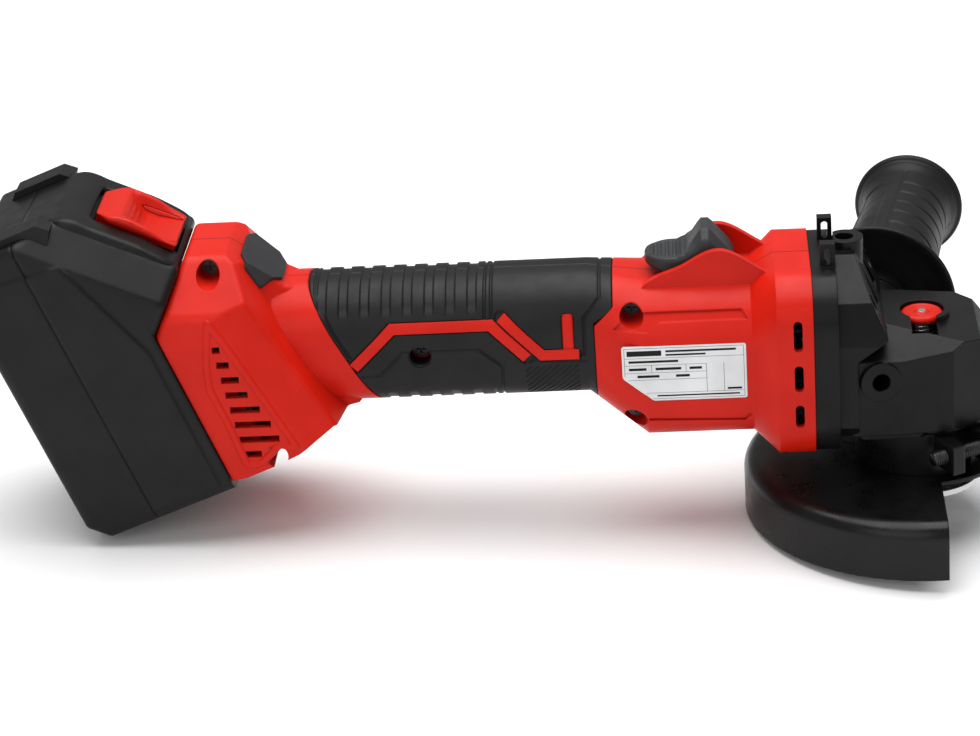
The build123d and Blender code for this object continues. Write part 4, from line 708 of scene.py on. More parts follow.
@dataclass
class GripCover:
    """The rubber over the grip, as two moulded half skins.

    A skin is a grid: one direction runs along the tool between the rubber's two edges, the
    other climbs the side from the bottom to the top parting line. Its section is the grip's
    rounded rectangle, which opens into the motor housing's over the taper. Ribs, grooves and
    the hatch are depths taken off along the outward direction.
    """

    width: float = 43.5
    height: float = 48.0
    corner: float = 19.0
    middle: float = 66.6
    barrel_width: float = 58.0
    barrel_height: float = 61.0
    barrel_corner: float = 22.0
    barrel_middle: float = 57.0
    taper: tuple[float, float] = (-123.0, -102.0)
    front_middle: float = -116.0
    rear_edge: Line = ((43.0, -199.7), (92.5, -226.3), (120.0, -226.3))
    front_edge: Line = ((20.0, -120.0), (74.8, -120.0), (81.5, -113.0), (120.0, -113.0))
    edge_turn: float = 1.6
    edge_round: float = 0.25
    # the moulded outlines and the red inlays' middle lines, as broken lines of (x, z)
    grooves: tuple[Line, ...] = (
        (
            (-225.8, 93.0), (-222.6, 83.8), (-212.0, 64.4), (-207.4, 64.5), (-195.2, 77.9),
            (-160.0, 78.2), (-159.6, 95.0),
        ),
        ((-157.4, 95.0), (-157.4, 78.3), (-142.5, 62.0), (-123.5, 61.0)),
        ((-117.9, 96.0), (-117.9, 84.1), (-123.7, 78.1), (-124.0, 63.6)),
        (
            (-205.7, 57.5), (-199.8, 57.7), (-191.0, 67.0), (-162.4, 67.0), (-154.3, 60.2),
            (-155.0, 43.0),
        ),
        ((-208.0, 57.6), (-200.4, 45.4)),
        ((-222.8, 95.0), (-222.0, 88.0), (-209.5, 64.5)),
    )
    groove_depth: float = 0.55
    groove_edge: tuple[float, float] = (0.21, 0.672)
    stripes: tuple[Line, ...] = (
        ((-209.0, 61.5), (-194.1, 76.2), (-157.9, 76.3), (-145.2, 63.1)),
        ((-154.0, 79.0), (-139.5, 63.9), (-129.8, 63.9), (-129.8, 77.4)),
        ((-130.0, 63.9), (-127.3, 63.9)),
    )
    stripe_depth: float = 0.9
    stripe_edge: tuple[float, float] = (2.05, 2.5)
    rib_pitch: float = 7.87
    rib_middle: float = -160.5
    rib_half: float = 2.2
    rib_depth: float = 0.7
    rib_fade: tuple[float, float] = (79.5, 84.0)
    over_the_top: float = 130.0
    low_rib_depth: float = 0.45
    low_rib_fade: tuple[float, float] = (46.5, 50.0)
    low_rib_span: tuple[float, float] = (-200.0, -157.0)
    hatch_depth: float = 0.5
    hatch_pitch: float = 2.45
    hatch_x: tuple[float, float] = (-145.8, -126.3)
    hatch_z: tuple[float, float] = (45.2, 59.8)
    parting_depth: float = 0.3
    parting_edge: tuple[float, float] = (0.12, 0.4)
    hole: tuple[float, float, float] = (-184.3, 65.2, 4.3)
    hole_pull: float = 0.32
    # the black sleeve down the screw hole, painted shade inside it: insets from the hole's radius,
    # depths under the skin
    shade_sleeve_insets: tuple[float, float] = (0.03, 0.35)
    shade_sleeve_depths: tuple[float, float] = (0.35, 8.6)
    tip_x: tuple[float, float] = (-132.1, -127.5)
    tip_z: tuple[float, float] = (64.8, 79.4)
    tip_depth: float = 0.4
    tip_edge_depth: float = 1.3
    columns: int = 430
    rows: int = 210

    def opening(self, x: Array | float) -> Array:
        """How far the section has opened into the motor housing's, 0 to 1 over the taper."""
        return np.clip((x - self.taper[0]) / (self.taper[1] - self.taper[0]), 0.0, 1.0)

    def depth(self, x: Array, z: Array, off_middle: Array) -> Array:
        """How far the surface lies below the plain section.

        Args:
            x: Places along the tool.
            z: Heights.
            off_middle: Distances from the middle plane.

        Returns:
            Depths in millimetres.
        """
        deep = np.zeros_like(x)
        cuts = [(line, self.groove_depth, self.groove_edge) for line in self.grooves]
        cuts += [(line, self.stripe_depth, self.stripe_edge) for line in self.stripes]
        for line, full, edge in cuts:
            deep = np.maximum(deep, full * smooth_fall(*edge, line_distance(x, z, line)))
        # ribs across the top and sides, fading out above the groove below them
        phase = np.mod(x - self.rib_middle + self.rib_pitch / 2, self.rib_pitch) - self.rib_pitch / 2
        gap = smooth_step(self.rib_half - 0.15, self.rib_half + 0.3, np.abs(phase))
        below = self.grooves[0]
        ends = ((below[-1][0], self.over_the_top), (below[0][0], self.over_the_top))
        zone = inside(x, z, (*below, *ends))
        deep = np.maximum(deep, self.rib_depth * gap * smooth_step(*self.rib_fade, z) * zone)
        # low ribs round the underside
        band = (x > self.low_rib_span[0]) & (x < self.low_rib_span[1])
        fade = smooth_fall(*self.low_rib_fade, z)
        deep = np.maximum(deep, self.low_rib_depth * gap * fade * band)
        # slanted hatch
        patch = (x > self.hatch_x[0]) & (x < self.hatch_x[1])
        patch &= (z > self.hatch_z[0]) & (z < self.hatch_z[1])
        wave = 0.5 + 0.5 * np.cos((x - z) * 2 * np.pi / self.hatch_pitch)
        deep = np.maximum(deep, self.hatch_depth * smooth_step(0.55, 0.9, wave) * patch)
        # parting line
        return np.maximum(deep, self.parting_depth * smooth_fall(*self.parting_edge, off_middle))

    def skin(self, side: Side) -> tuple[Array, Array]:
        """One half skin with its edges turned in.

        Args:
            side: Which half.

        Returns:
            Points and quads, facing outward.
        """
        share = np.linspace(0.0, 0.5, self.rows)
        grip = rounded_rectangle(self.width, self.height, self.corner, self.middle, share)
        barrel = rounded_rectangle(
            self.barrel_width, self.barrel_height, self.barrel_corner, self.barrel_middle, share
        )
        front_z = grip[:, 1] + self.opening(self.front_middle) * (barrel[:, 1] - grip[:, 1])
        rear_x = np.interp(grip[:, 1], *np.transpose(self.rear_edge))
        front_x = np.interp(front_z, *np.transpose(self.front_edge))
        step = np.linspace(0.0, 1.0, self.columns)
        x = rear_x + step[:, None] * (front_x - rear_x)
        section = grip + self.opening(x)[..., None] * (barrel - grip)
        y, z = section[..., 0], section[..., 1]
        along = np.gradient(section, axis=1)
        outward = np.stack([-along[..., 1], along[..., 0]], axis=-1)
        outward /= np.linalg.norm(outward, axis=-1, keepdims=True)
        hole_x, hole_z, radius = self.hole
        off = np.hypot(x - hole_x, z - hole_z)
        # points beside the screw hole's rim are drawn onto it
        near_rim = np.abs(off - radius) < self.hole_pull
        pull = np.where(near_rim, radius / np.maximum(off, 0.1), 1.0)
        x = hole_x + (x - hole_x) * pull
        z = hole_z + (z - hole_z) * pull
        deep = self.depth(x, z, np.abs(y))
        deep[[0, -1]] = self.edge_turn
        deep[[1, -2]] = np.maximum(deep[[1, -2]], self.edge_round)
        out_y = (y + outward[..., 0] * -deep) * -side.value
        points = np.stack([x, out_y, z - outward[..., 1] * deep], axis=-1)
        quads = grid_quads(self.columns, self.rows)
        if side is Side.RIGHT:
            middle = points.reshape(-1, 3)[quads].mean(axis=1)
            quads = quads[np.hypot(middle[:, 0] - hole_x, middle[:, 2] - hole_z) > radius - 0.05]
        return points, quads[:, ::-1] if side is Side.RIGHT else quads

    def inlay_tip(self, side: Side) -> tuple[Array, Array]:
        """The upright end of the front inlay, a strip that follows the grip's section.

        Args:
            side: Which half.

        Returns:
            Points and quads, facing outward.
        """
        x, z = np.meshgrid(np.linspace(*self.tip_x, 9), np.linspace(*self.tip_z, 41), indexing="ij")
        deep = np.full_like(x, self.tip_depth)
        deep[[0, -1]] = self.tip_edge_depth
        deep[:, [0, -1]] = self.tip_edge_depth
        rise = np.maximum(z - (self.middle + self.height / 2 - self.corner), 0.0)
        y = self.width / 2 - self.corner + np.sqrt((self.corner - deep) ** 2 - rise**2)
        quads = grid_quads(*x.shape)
        points = np.stack([x, side.value * y, z], axis=-1)
        return points, quads if side is Side.LEFT else quads[:, ::-1]

    def hole_shade_lining(self) -> tuple[Array, Array]:
        """A black rubber sleeve down the screw hole's wall, painted shade inside the hole; it is on the
        right half only.

        Returns:
            Points and quads, facing outward.
        """
        hole_x, hole_z, radius = self.hole
        outer, inner = (radius - inset for inset in self.shade_sleeve_insets)
        start, end = (self.width / 2 - depth for depth in self.shade_sleeve_depths)
        profile = np.array([(outer, start), (outer, end), (inner, end), (inner, start), (outer, start)])
        ring, quads = turned_profile(profile, 72)
        points = np.stack([hole_x + ring[..., 0], -ring[..., 2], hole_z + ring[..., 1]], axis=-1)
        return points, quads[:, ::-1]

    def build(self, palette: Palette) -> None:
        """Makes both halves in black rubber, the inlays' ends and the black sleeve that paints shade
        inside the screw hole.

        Args:
            palette: Hands out the finishes.
        """
        # black sleeve down the screw hole: painted shade inside it
        Piece("grip_hole_shade_sleeve", "housing", "black_rubber").build(*self.hole_shade_lining(), palette)
        for side in Side:
            half = side.name.lower()
            tip = Piece(f"{half}_inlay_tip", "housing", "red_plastic")
            tip.build(*self.inlay_tip(side), palette)
            cover = f"{half}_grip_cover"
            skin = Piece(f"{cover}_rubber", "housing", "black_rubber", (cover,))
            skin.build(*self.skin(side), palette)


# ------------------------------------------------------------------ side handle


@dataclass
class SideHandle:
    """The side handle's rubber: a dished hand guard, a grooved barrel and an end flange.

    The surface is a profile of (radius, distance) carried round the handle's axis, with
    depths for ring grooves on its sides and for a sunk panel between smooth bands.
    """

    start: tuple[float, float, float] = (-16.8, 31.0, 52.0)
    lean: float = 11.0
    # stretches from the hub to the end's middle, each with its count of points
    stretches: tuple[tuple[int, Line], ...] = (
        (40, ((12.0, 17.6), (19.0, 17.4), (25.0, 16.0), (28.6, 13.7), (30.0, 13.6))),
        (10, ((30.0, 13.6), (30.5, 14.2), (30.5, 15.2), (29.8, 16.4))),
        (60, ((29.8, 16.4), (26.0, 18.4), (21.5, 22.0), (18.9, 27.0), (17.8, 33.0), (17.6, 40.0))),
        (150, ((17.6, 40.0), (18.3, 62.0), (17.3, 96.0), (17.8, 103.0))),
        (40, ((17.8, 103.0), (18.4, 107.0), (19.9, 110.6), (20.2, 112.4), (21.7, 113.2), (22.0, 114.6))),
        (36, ((22.0, 114.6), (21.8, 115.3), (20.4, 116.1), (16.0, 117.1), (8.0, 117.5), (0.01, 117.6))),
    )
    barrel: tuple[float, float] = (34.0, 108.0)
    first_ring: float = 41.0
    ring_pitch: float = 11.0
    rings: int = 6
    ring_depth: float = 0.6
    # the two smooth bands and the panel sunk in them: degrees round, millimetres along
    panel_turn: float = -38.0
    panel_middle: float = 68.0
    band_half: float = 38.0
    band_half_length: float = 38.0
    border_depth: float = 0.35
    panel_half: float = 21.0
    panel_half_length: float = 31.0
    panel_depth: float = 0.45
    degree_width: float = 0.31
    angles: int = 240

    def profile(self) -> Array:
        """The outline from the hub, over the dish and the barrel, to the end's middle."""
        lines = [smooth_line(corners, count) for count, corners in self.stretches]
        return np.concatenate([lines[0], *(line[1:] for line in lines[1:])])

    def depth(self, distance: Array, turn: Array) -> Array:
        """Depth of the grooves and the panel.

        Args:
            distance: Distances along the handle.
            turn: Angles round it in degrees, 0 upward.

        Returns:
            Depths in millimetres.
        """
        off_panel = np.abs(np.mod(turn - self.panel_turn + 90.0, 180.0) - 90.0)
        rings = self.first_ring + self.ring_pitch * np.arange(self.rings)
        off_ring = np.abs(distance[..., None] - rings).min(-1)
        off_band = smooth_step(self.band_half, self.band_half + 1.5, off_panel)
        groove = self.ring_depth * smooth_fall(0.35, 0.95, off_ring) * off_band
        off_middle = np.abs(distance - self.panel_middle)
        beside = np.abs(off_panel - self.band_half) * self.degree_width
        edge = np.maximum(beside, off_middle - self.band_half_length)
        groove = np.maximum(groove, self.border_depth * smooth_fall(0.3, 0.8, edge))
        across, length = off_panel - self.panel_half, off_middle - self.panel_half_length
        panel = self.panel_depth * smooth_fall(-1.2, 0.6, across) * smooth_fall(-0.6, 0.3, length)
        return np.maximum(groove, panel)

    def build(self, palette: Palette) -> None:
        """Makes the rubber.

        Args:
            palette: Hands out the finishes.
        """
        profile = self.profile()
        points, quads = turned_profile(profile, self.angles)
        turn = np.broadcast_to(np.linspace(0.0, 360.0, self.angles, endpoint=False), points.shape[:2])
        distance = points[..., 2]
        on_barrel = (profile[:, 1] > self.barrel[0]) & (profile[:, 1] < self.barrel[1])
        depth = self.depth(distance, turn) * on_barrel[:, None]
        shrink = 1.0 - depth / np.maximum(profile[:, :1], 1.0)
        lean = np.radians(self.lean)
        up = np.array([0.0, 0.0, 1.0])
        axis = np.array([np.sin(lean), np.cos(lean), 0.0])
        across = np.cross(axis, up)
        placed = (
            np.array(self.start)
            + (points[..., 0] * shrink)[..., None] * up
            + (points[..., 1] * shrink)[..., None] * across
            + distance[..., None] * axis
        )
        piece = Piece("side_handle_rubber", "side_handle", "black_rubber", ("handle_grip",))
        piece.build(placed, quads, palette)


# ------------------------------------------------------------------ spindle lock


@dataclass
class LockButton:
    """The spindle lock's cap: a dished disc with rings round its centre pin."""

    radius: float = 7.8
    pin: float = 1.5
    low: float = 63.9
    top: float = 67.1

    def build(self, palette: Palette) -> None:
        """Makes the cap as a turned profile, closed round the pin.

        Args:
            palette: Hands out the finishes.
        """
        rim, pin, t, b = self.radius, self.pin, self.top, self.low
        corners = (
            (pin, b), (rim - 0.8, b), (rim, b + 0.7), (rim, t - 1.5), (7.3, t - 0.7), (6.3, t - 0.25),
            (5.4, t - 0.55), (4.9, t - 0.75), (4.6, t - 0.5), (3.7, t - 0.55), (3.4, t - 0.85),
            (2.8, t - 0.8), (2.5, t - 0.35), (1.9, t - 0.2), (pin, t - 0.3), (pin, b),
        )
        piece = Piece("lock_button_cap", "lock", "red_plastic", ("lock_button",), finish="red_button")
        piece.build(*turned_profile(smooth_line(corners, 110), 96), palette)


@dataclass
class LockSpring:
    """The tapered spring under the lock's cap, made at rest; nothing here flattens it as the button is
    pressed.
    """

    floor: float = 58.3
    low: float = 58.7
    rise: float = 4.8
    pitch: float = 1.3
    radius: float = 6.6
    taper: float = 0.466
    wire: float = 0.35
    travel: float = 3.0

    def build(self, palette: Palette) -> None:
        """Makes the wire as a tube along a tapering helix, closed at both ends.

        Args:
            palette: Hands out the finishes.
        """
        stations, around = 260, 12
        height = np.linspace(0.0, self.rise, stations)[:, None]
        thick = np.full((stations, 1), self.wire)
        thick[[0, -1]] = 0.0
        turn = height * 2 * np.pi / self.pitch
        round_wire = np.linspace(0.0, 2 * np.pi, around, endpoint=False)[None, :]
        radius = self.radius - self.taper * height + thick * np.cos(round_wire)
        points = around_z(radius, turn, self.low + height + thick * np.sin(round_wire))
        quads = grid_quads(stations, around, closed=True)
        piece = Piece("lock_spring_coil", "housing", "bright_steel", ("lock_spring",))
        obj = piece.build(points, quads[:, ::-1], palette)
        keep = 1.0 - self.travel / (self.low + self.rise + self.wire - self.floor)
        keep - 0.02
        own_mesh(obj)


# ------------------------------------------------------------------ slide switch


@dataclass
class SlideSwitch:
    """The slide switch: an oval dished paddle with five ribs, behind a faceted crest.

    Top and underside are heights over the same outline, whose rim is folded down between
    them, so the piece is closed. A plain stem reaches down to the link.
    """

    rear: float = -101.0
    front: float = -68.2
    half_width: float = 10.0
    top_line: Line = (
        (-101.0, 95.0), (-97.0, 94.5), (-89.0, 94.6), (-86.0, 96.4), (-84.6, 98.4), (-81.3, 103.2),
        (-80.0, 104.8), (-77.4, 104.8), (-75.8, 103.3), (-70.5, 97.0), (-68.2, 93.2),
    )
    under_line: Line = (
        (-101.0, 91.6), (-96.0, 90.2), (-91.0, 88.0), (-72.4, 88.0), (-70.6, 90.0), (-68.2, 90.8),
    )
    dish: float = 0.9
    facet_start: float = 5.6
    facet_slope: float = 0.75
    first_rib: float = -98.2
    rib_pitch: float = 2.75
    rib_height: float = 0.75
    ribs: int = 5
    stem_low: tuple[float, float, float] = (-86.0, -4.0, 83.4)
    stem_high: tuple[float, float, float] = (-77.0, 4.0, 88.4)
    rim: float = 0.96
    stations: int = 221
    columns: int = 101

    def width(self, x: Array) -> Array:
        """Half the width: a circle's behind, then plain, and tapered in front.

        Args:
            x: Places along the tool.

        Returns:
            Half widths.
        """
        off = np.clip((self.rear + self.half_width - x) / self.half_width, 0.0, 0.995)
        taper = 1.0 - 0.22 * smooth_step(-76.0, -68.0, x)
        return self.half_width * np.sqrt(1.0 - off * off) * taper

    def build(self, palette: Palette) -> None:
        """Makes the closed paddle and crest, and the stem.

        Args:
            palette: Hands out the finishes.
        """
        u = np.linspace(-1.0, 1.0, self.stations)[:, None]
        v = np.linspace(-1.0, 1.0, self.columns)[None, :]
        edge = np.maximum(np.abs(u), np.abs(v))
        flat_u = np.clip(u / self.rim, -1.0, 1.0) + 0 * v
        flat_v = np.clip(v / self.rim, -1.0, 1.0) + 0 * u
        x = (self.rear + self.front) / 2 + flat_u * (self.front - self.rear) / 2
        width = self.width(x)
        y = flat_v * width
        paddle = smooth_fall(-88.5, -84.0, x)
        crest = smooth_step(-86.0, -81.0, x)
        dish = self.dish * (y / self.half_width) ** 2
        facet = self.facet_slope * np.maximum(np.abs(y) - self.facet_start, 0.0)
        middles = self.first_rib + self.rib_pitch * np.arange(self.ribs)
        off_rib = np.abs(x[..., None] - middles).min(-1)
        reach = smooth_fall(0.66, 0.76, np.abs(y) / width)
        ribs = self.rib_height * smooth_fall(0.35, 0.75, off_rib) * reach * paddle
        top = np.interp(x, *np.transpose(self.top_line)) + paddle * dish - crest * facet + ribs
        under = np.interp(x, *np.transpose(self.under_line))
        fold = np.clip((edge - self.rim) / 0.04, 0.0, 1.0)
        soft = 0.5 * smooth_step(0.90, self.rim, edge)
        seam = fold * (under + top) / 2
        upper = np.stack([x, y, (top - soft) * (1.0 - fold) + seam], axis=-1)
        lower = np.stack([x, y, under * (1.0 - fold) + seam], axis=-1)
        quads = grid_quads(self.stations, self.columns)
        low, high = np.array(self.stem_low), np.array(self.stem_high)
        corner = np.array([[i, j, k] for i in (0, 1) for j in (0, 1) for k in (0, 1)])
        block = low + corner * (high - low)
        sides = np.array(
            [[0, 1, 3, 2], [4, 6, 7, 5], [0, 4, 5, 1], [2, 3, 7, 6], [0, 2, 6, 4], [1, 5, 7, 3]]
        )
        shape = joined((upper, quads[:, ::-1]), (lower, quads), (block, sides))
        Piece("slide_switch_paddle", "switch", "slider_grey", ("switch_slider",)).build(*shape, palette)


# ------------------------------------------------------------------ threads


@dataclass
class Thread:
    """A threaded rod as a helical surface.

    The radius falls from the crest by a triangle wave of (height / pitch - turn).
    """

    crest: float
    depth: float
    pitch: float
    low: float
    high: float
    chamfer: float = 1.0

    def surface(self, angles: int = 64, per_pitch: int = 10) -> tuple[Array, Array]:
        """The thread about the Z axis with a flat end below.

        Args:
            angles: Steps round the axis.
            per_pitch: Rows in one pitch.

        Returns:
            Points and quads.
        """
        rows = int((self.high - self.low) / self.pitch * per_pitch)
        height = np.linspace(self.low, self.high, rows)[:, None]
        turn = np.linspace(0.0, 1.0, angles, endpoint=False)[None, :]
        wave = np.abs(np.mod(height / self.pitch - turn, 1.0) - 0.5) * 2.0
        radius = self.crest - self.depth * np.clip(wave * 1.25 - 0.1, 0.0, 1.0)
        radius = np.minimum(radius, self.crest - self.chamfer + (height - self.low))
        middle = np.zeros((1, angles, 3)) + [0.0, 0.0, self.low]
        points = np.concatenate([middle, around_z(radius, turn * 2 * np.pi, height)])
        return points, grid_quads(rows + 1, angles, closed=True)


@dataclass
class ClampScrew:
    """The guard clamp's cap screw, with its thread showing past the lug."""

    lug_turn: float = -61.6
    reach: float = 30.5
    height: float = 22.0
    tip: float = -15.4
    head_start: float = 10.2
    head_radius: float = 5.0
    head_height: float = 5.5
    socket: float = 2.9

    def build(self, palette: Palette) -> None:
        """Makes the screw along its own axis and carries it to the lug.

        Args:
            palette: Hands out the finishes.
        """
        rod = Thread(3.0, 0.5, 1.0, self.tip, self.head_start, 0.8).surface(40, 8)
        start, high = self.head_start, self.head_start + self.head_height
        rim, socket = self.head_radius, self.socket
        corners = (
            (3.0, start), (rim - 0.2, start), (rim, start + 0.3), (rim, high - 0.7), (rim - 0.6, high),
            (socket + 0.5, high), (socket, high - 0.4), (socket, high - 3.0), (0.01, high - 3.2),
        )
        head = turned_profile(smooth_line(corners, 60), 48)
        points, quads = joined(rod, head)
        turn = np.radians(self.lug_turn)
        out = np.array([np.cos(turn), np.sin(turn), 0.0])
        axis = np.array([-np.sin(turn), np.cos(turn), 0.0])
        up = np.array([0.0, 0.0, 1.0])
        placed = (
            out * self.reach + up * self.height
            + points[:, 2:] * axis + points[:, :1] * up + points[:, 1:2] * out
        )
        piece = Piece("clamp_screw_threaded", "guard_group", "screw_steel", ("clamp_screw",))
        piece.build(placed, quads, palette)


@dataclass
class SpindleEnd:
    """The spindle, with its M14 thread below the flange and a key socket in its end."""

    crest: float = 7.0
    pitch: float = 2.0
    low: float = -15.0
    top: float = 57.6

    def build(self, palette: Palette) -> None:
        """Makes the threaded end and the plain shaft above it.

        Args:
            palette: Hands out the finishes.
        """
        thread = Thread(self.crest, 1.0, self.pitch, self.low, -3.9, 1.2).surface(72, 12)
        top = self.top
        corners = [
            (7.3, -4.0), (7.3, 6.0), (8.2, 6.0), (8.2, 13.5), (6.0, 13.5), (6.0, 23.5), (6.5, 23.5),
            (6.5, 49.0), (5.5, 49.0), (5.5, top - 0.3), (5.2, top), (3.8, top), (3.6, top - 3.0),
            (0.01, top - 3.2),
        ]
        shaft = turned_profile(np.asarray(corners, dtype=float), 72)
        piece = Piece("spindle_threaded", "spindle_group", "bright_steel", ("spindle",))
        piece.build(*joined(thread, shaft), palette)


# ------------------------------------------------------------------ pack top and latch


def on_slope(down: Array, across: Array, height: Array) -> Array:
    """Points over the pack's slanted face.

    Args:
        down: Distances down the slope from the latch's middle.
        across: Places along Y.
        height: Heights over the solid's face.

    Returns:
        An array (..., 3).
    """
    turn = np.radians(PACK_TILT)
    deep = np.array([np.cos(turn), 0.0, np.sin(turn)])
    along = np.array([-np.sin(turn), 0.0, np.cos(turn)])
    normal, slope = (deep + along) / np.sqrt(2), (deep - along) / np.sqrt(2)
    corner = np.array([PACK_CORNER[0], 0.0, PACK_CORNER[1]])
    start = corner + normal * SLOPE_FACE + slope * LATCH_MIDDLE
    down, across, height = (value[..., None] for value in np.broadcast_arrays(down, across, height))
    return start + down * slope + across * [0.0, 1.0, 0.0] + height * normal


@dataclass
class PackCrown:
    """The raised band over the pack's slanted face, with the latch's opening in it.

    A ring of points runs from the opening's walls to the band's outer walls. Both outlines
    are rounded boxes given as a radius at each angle, so the rings never cross.
    """

    middle: float = -1.0
    outer: tuple[float, float] = (30.4, 18.0)
    outer_half: float = 25.4
    opening: float = 17.0
    opening_half: float = 16.1
    crest: Line = (
        (-32.0, -0.5), (-29.5, 0.9), (-26.0, 2.9), (-21.5, 3.4), (-17.5, 2.9), (2.0, 2.7), (11.4, 1.5),
        (17.5, 0.1),
    )
    # shares of the way from the opening to the outer edge; the doubled ends are the walls
    rings: tuple[float, ...] = (
        0.0, 0.0, 0.02, 0.06, 0.15, 0.3, 0.45, 0.6, 0.75, 0.86, 0.93, 0.97, 0.99, 1.0, 1.0,
    )
    inner_foot: float = -0.3
    outer_foot: float = -0.8
    angles: int = 540
    squareness: float = 14.0

    def reach(self, turn: Array, length: Array, half: float) -> Array:
        """The radius of a rounded box at each angle.

        Args:
            turn: Angles from the downhill direction.
            length: Half length at each angle.
            half: Half width.

        Returns:
            Radii.
        """
        power = self.squareness
        ahead, aside = np.abs(np.cos(turn)) / length, np.abs(np.sin(turn)) / half
        return (ahead**power + aside**power) ** (-1 / power)

    def build(self, palette: Palette) -> None:
        """Makes the band with both its walls.

        Args:
            palette: Hands out the finishes.
        """
        turn = np.linspace(0.0, 2 * np.pi, self.angles, endpoint=False)
        inner = self.reach(turn, np.full_like(turn, self.opening), self.opening_half)
        length = np.where(np.cos(turn) < 0.0, *self.outer)
        outer = self.reach(turn, length, self.outer_half)
        share = np.array(self.rings)[:, None]
        radius = inner + share * (outer - inner)
        down = self.middle + radius * np.cos(turn)
        across = radius * np.sin(turn)
        height = np.interp(down, *smooth_line(self.crest, 60).T)
        height = height - 0.5 * smooth_step(0.88, 1.0, share) - 0.25 * smooth_fall(0.0, 0.06, share)
        height[0] = self.inner_foot
        height[-1] = self.outer_foot
        quads = grid_quads(len(share), len(turn), closed=True)
        piece = Piece("pack_crown", "battery_pack", "pack_plastic")
        piece.build(on_slope(down, across, height), quads[:, ::-1], palette)


@dataclass
class LatchButton:
    """The pack's release button: a rising pad, a sharp ridge and a finger scoop.

    The top is a height over (down the slope, across). The rims run on past the ridge as the
    scoop's side walls. At its border the surface folds down, steps in to the stem that
    stands in the pack's pocket, and goes down to the stem's end.
    """

    rear: float = -16.4
    front: float = 15.2
    ridge: float = -7.7
    rear_half: float = 11.2
    half_width: float = 15.4
    stem_half: float = 11.2
    skirt: float = 3.3
    stem_end: float = -4.8
    rim: Line = ((-16.4, 3.65), (-8.4, 6.6), (-4.0, 6.9), (3.0, 6.1), (8.5, 4.7), (15.2, 3.65))
    floor: Line = (
        (-7.9, 6.7), (-6.9, 6.5), (-0.6, 2.0), (1.2, 1.3), (5.0, 1.2), (13.0, 2.8), (15.2, 3.65),
    )
    mark_pitch: float = 2.0
    mark_height: float = 0.22
    # where the border starts to fold down, to step in and to sink, as shares of the half
    # size; each takes one stage, and the border's own lines fall on the stages
    stages: tuple[float, float, float] = (0.91, 0.94, 0.97)
    stage: float = 0.03
    border: tuple[float, ...] = (0.91, 0.925, 0.94, 0.955, 0.97, 0.985, 1.0)
    stations: int = 169
    columns: int = 129

    def lines(self, count: int) -> Array:
        """Grid lines from -1 to 1: even over the top, and the border's own at both ends.

        Args:
            count: Lines over the top, with the border's first at each end.

        Returns:
            The lines, as shares of the half size.
        """
        border = np.array(self.border)
        even = np.linspace(-self.stages[0], self.stages[0], count)[1:-1]
        return np.concatenate([-border[::-1], even, border])

    def top_height(self, down: Array, flat_u: Array, flat_v: Array) -> Array:
        """The top's height: the rim's line, scooped to the floor's past the ridge, and marked.

        Args:
            down: Distances down the slope.
            flat_u: Shares of the half length.
            flat_v: Shares of the half width.

        Returns:
            Heights over the solid's face.
        """
        rim = np.interp(down, *smooth_line(self.rim, 80).T)
        floor = np.interp(down, *smooth_line(self.floor, 120).T)
        scooped = floor + smooth_step(0.66, 0.90, np.abs(flat_v)) * (rim - floor)
        top = np.where(down > self.ridge, np.minimum(scooped, rim), rim)
        marks = 0.5 + 0.5 * np.cos((down - self.ridge) * 2 * np.pi / self.mark_pitch)
        on_ramp = (down > self.ridge + 1.6) & (down < self.ridge + 6.2)
        top = top + self.mark_height * marks * on_ramp * smooth_fall(0.35, 0.5, np.abs(flat_v))
        return top - 0.3 * smooth_step(0.94, 1.0, np.maximum(np.abs(flat_u), np.abs(flat_v)))

    def build(self, palette: Palette) -> None:
        """Makes the pad, its skirt and its stem as one closed grid but for the stem's end.

        Args:
            palette: Hands out the finishes.
        """
        u = self.lines(self.stations)[:, None]
        v = self.lines(self.columns)[None, :]
        edge = np.maximum(np.abs(u), np.abs(v))
        flat_u = np.clip(u / self.stages[0], -1.0, 1.0) + 0 * v
        flat_v = np.clip(v / self.stages[0], -1.0, 1.0) + 0 * u
        round_off = 1.0 - 0.03 * (flat_u * flat_v) ** 8
        middle, half_length = (self.front + self.rear) / 2, (self.front - self.rear) / 2
        down = middle + flat_u * round_off * half_length
        widened = smooth_step(self.rear, self.rear + 6.5, down)
        width = self.rear_half + (self.half_width - self.rear_half) * widened
        across = flat_v * round_off * width
        top = self.top_height(down, flat_u, flat_v)
        fold, step, sink = (np.clip((edge - start) / self.stage, 0.0, 1.0) for start in self.stages)
        narrow = np.minimum(1.0, (self.stem_half - 0.3) / np.maximum(width, 1.0))
        across = across * (1.0 - step * (1.0 - narrow))
        down = down + step * (middle + flat_u * (half_length - 0.6) - down)
        height = top + fold * (np.minimum(top, self.skirt) - top)
        height = height + sink * (self.stem_end - height)
        quads = grid_quads(*down.shape)[:, ::-1]
        piece = Piece("latch_button_pad", "latch", "red_plastic", ("latch_button",), finish="red_button")
        piece.build(on_slope(down, across, height), quads, palette)


# ------------------------------------------------------------------ housing trim


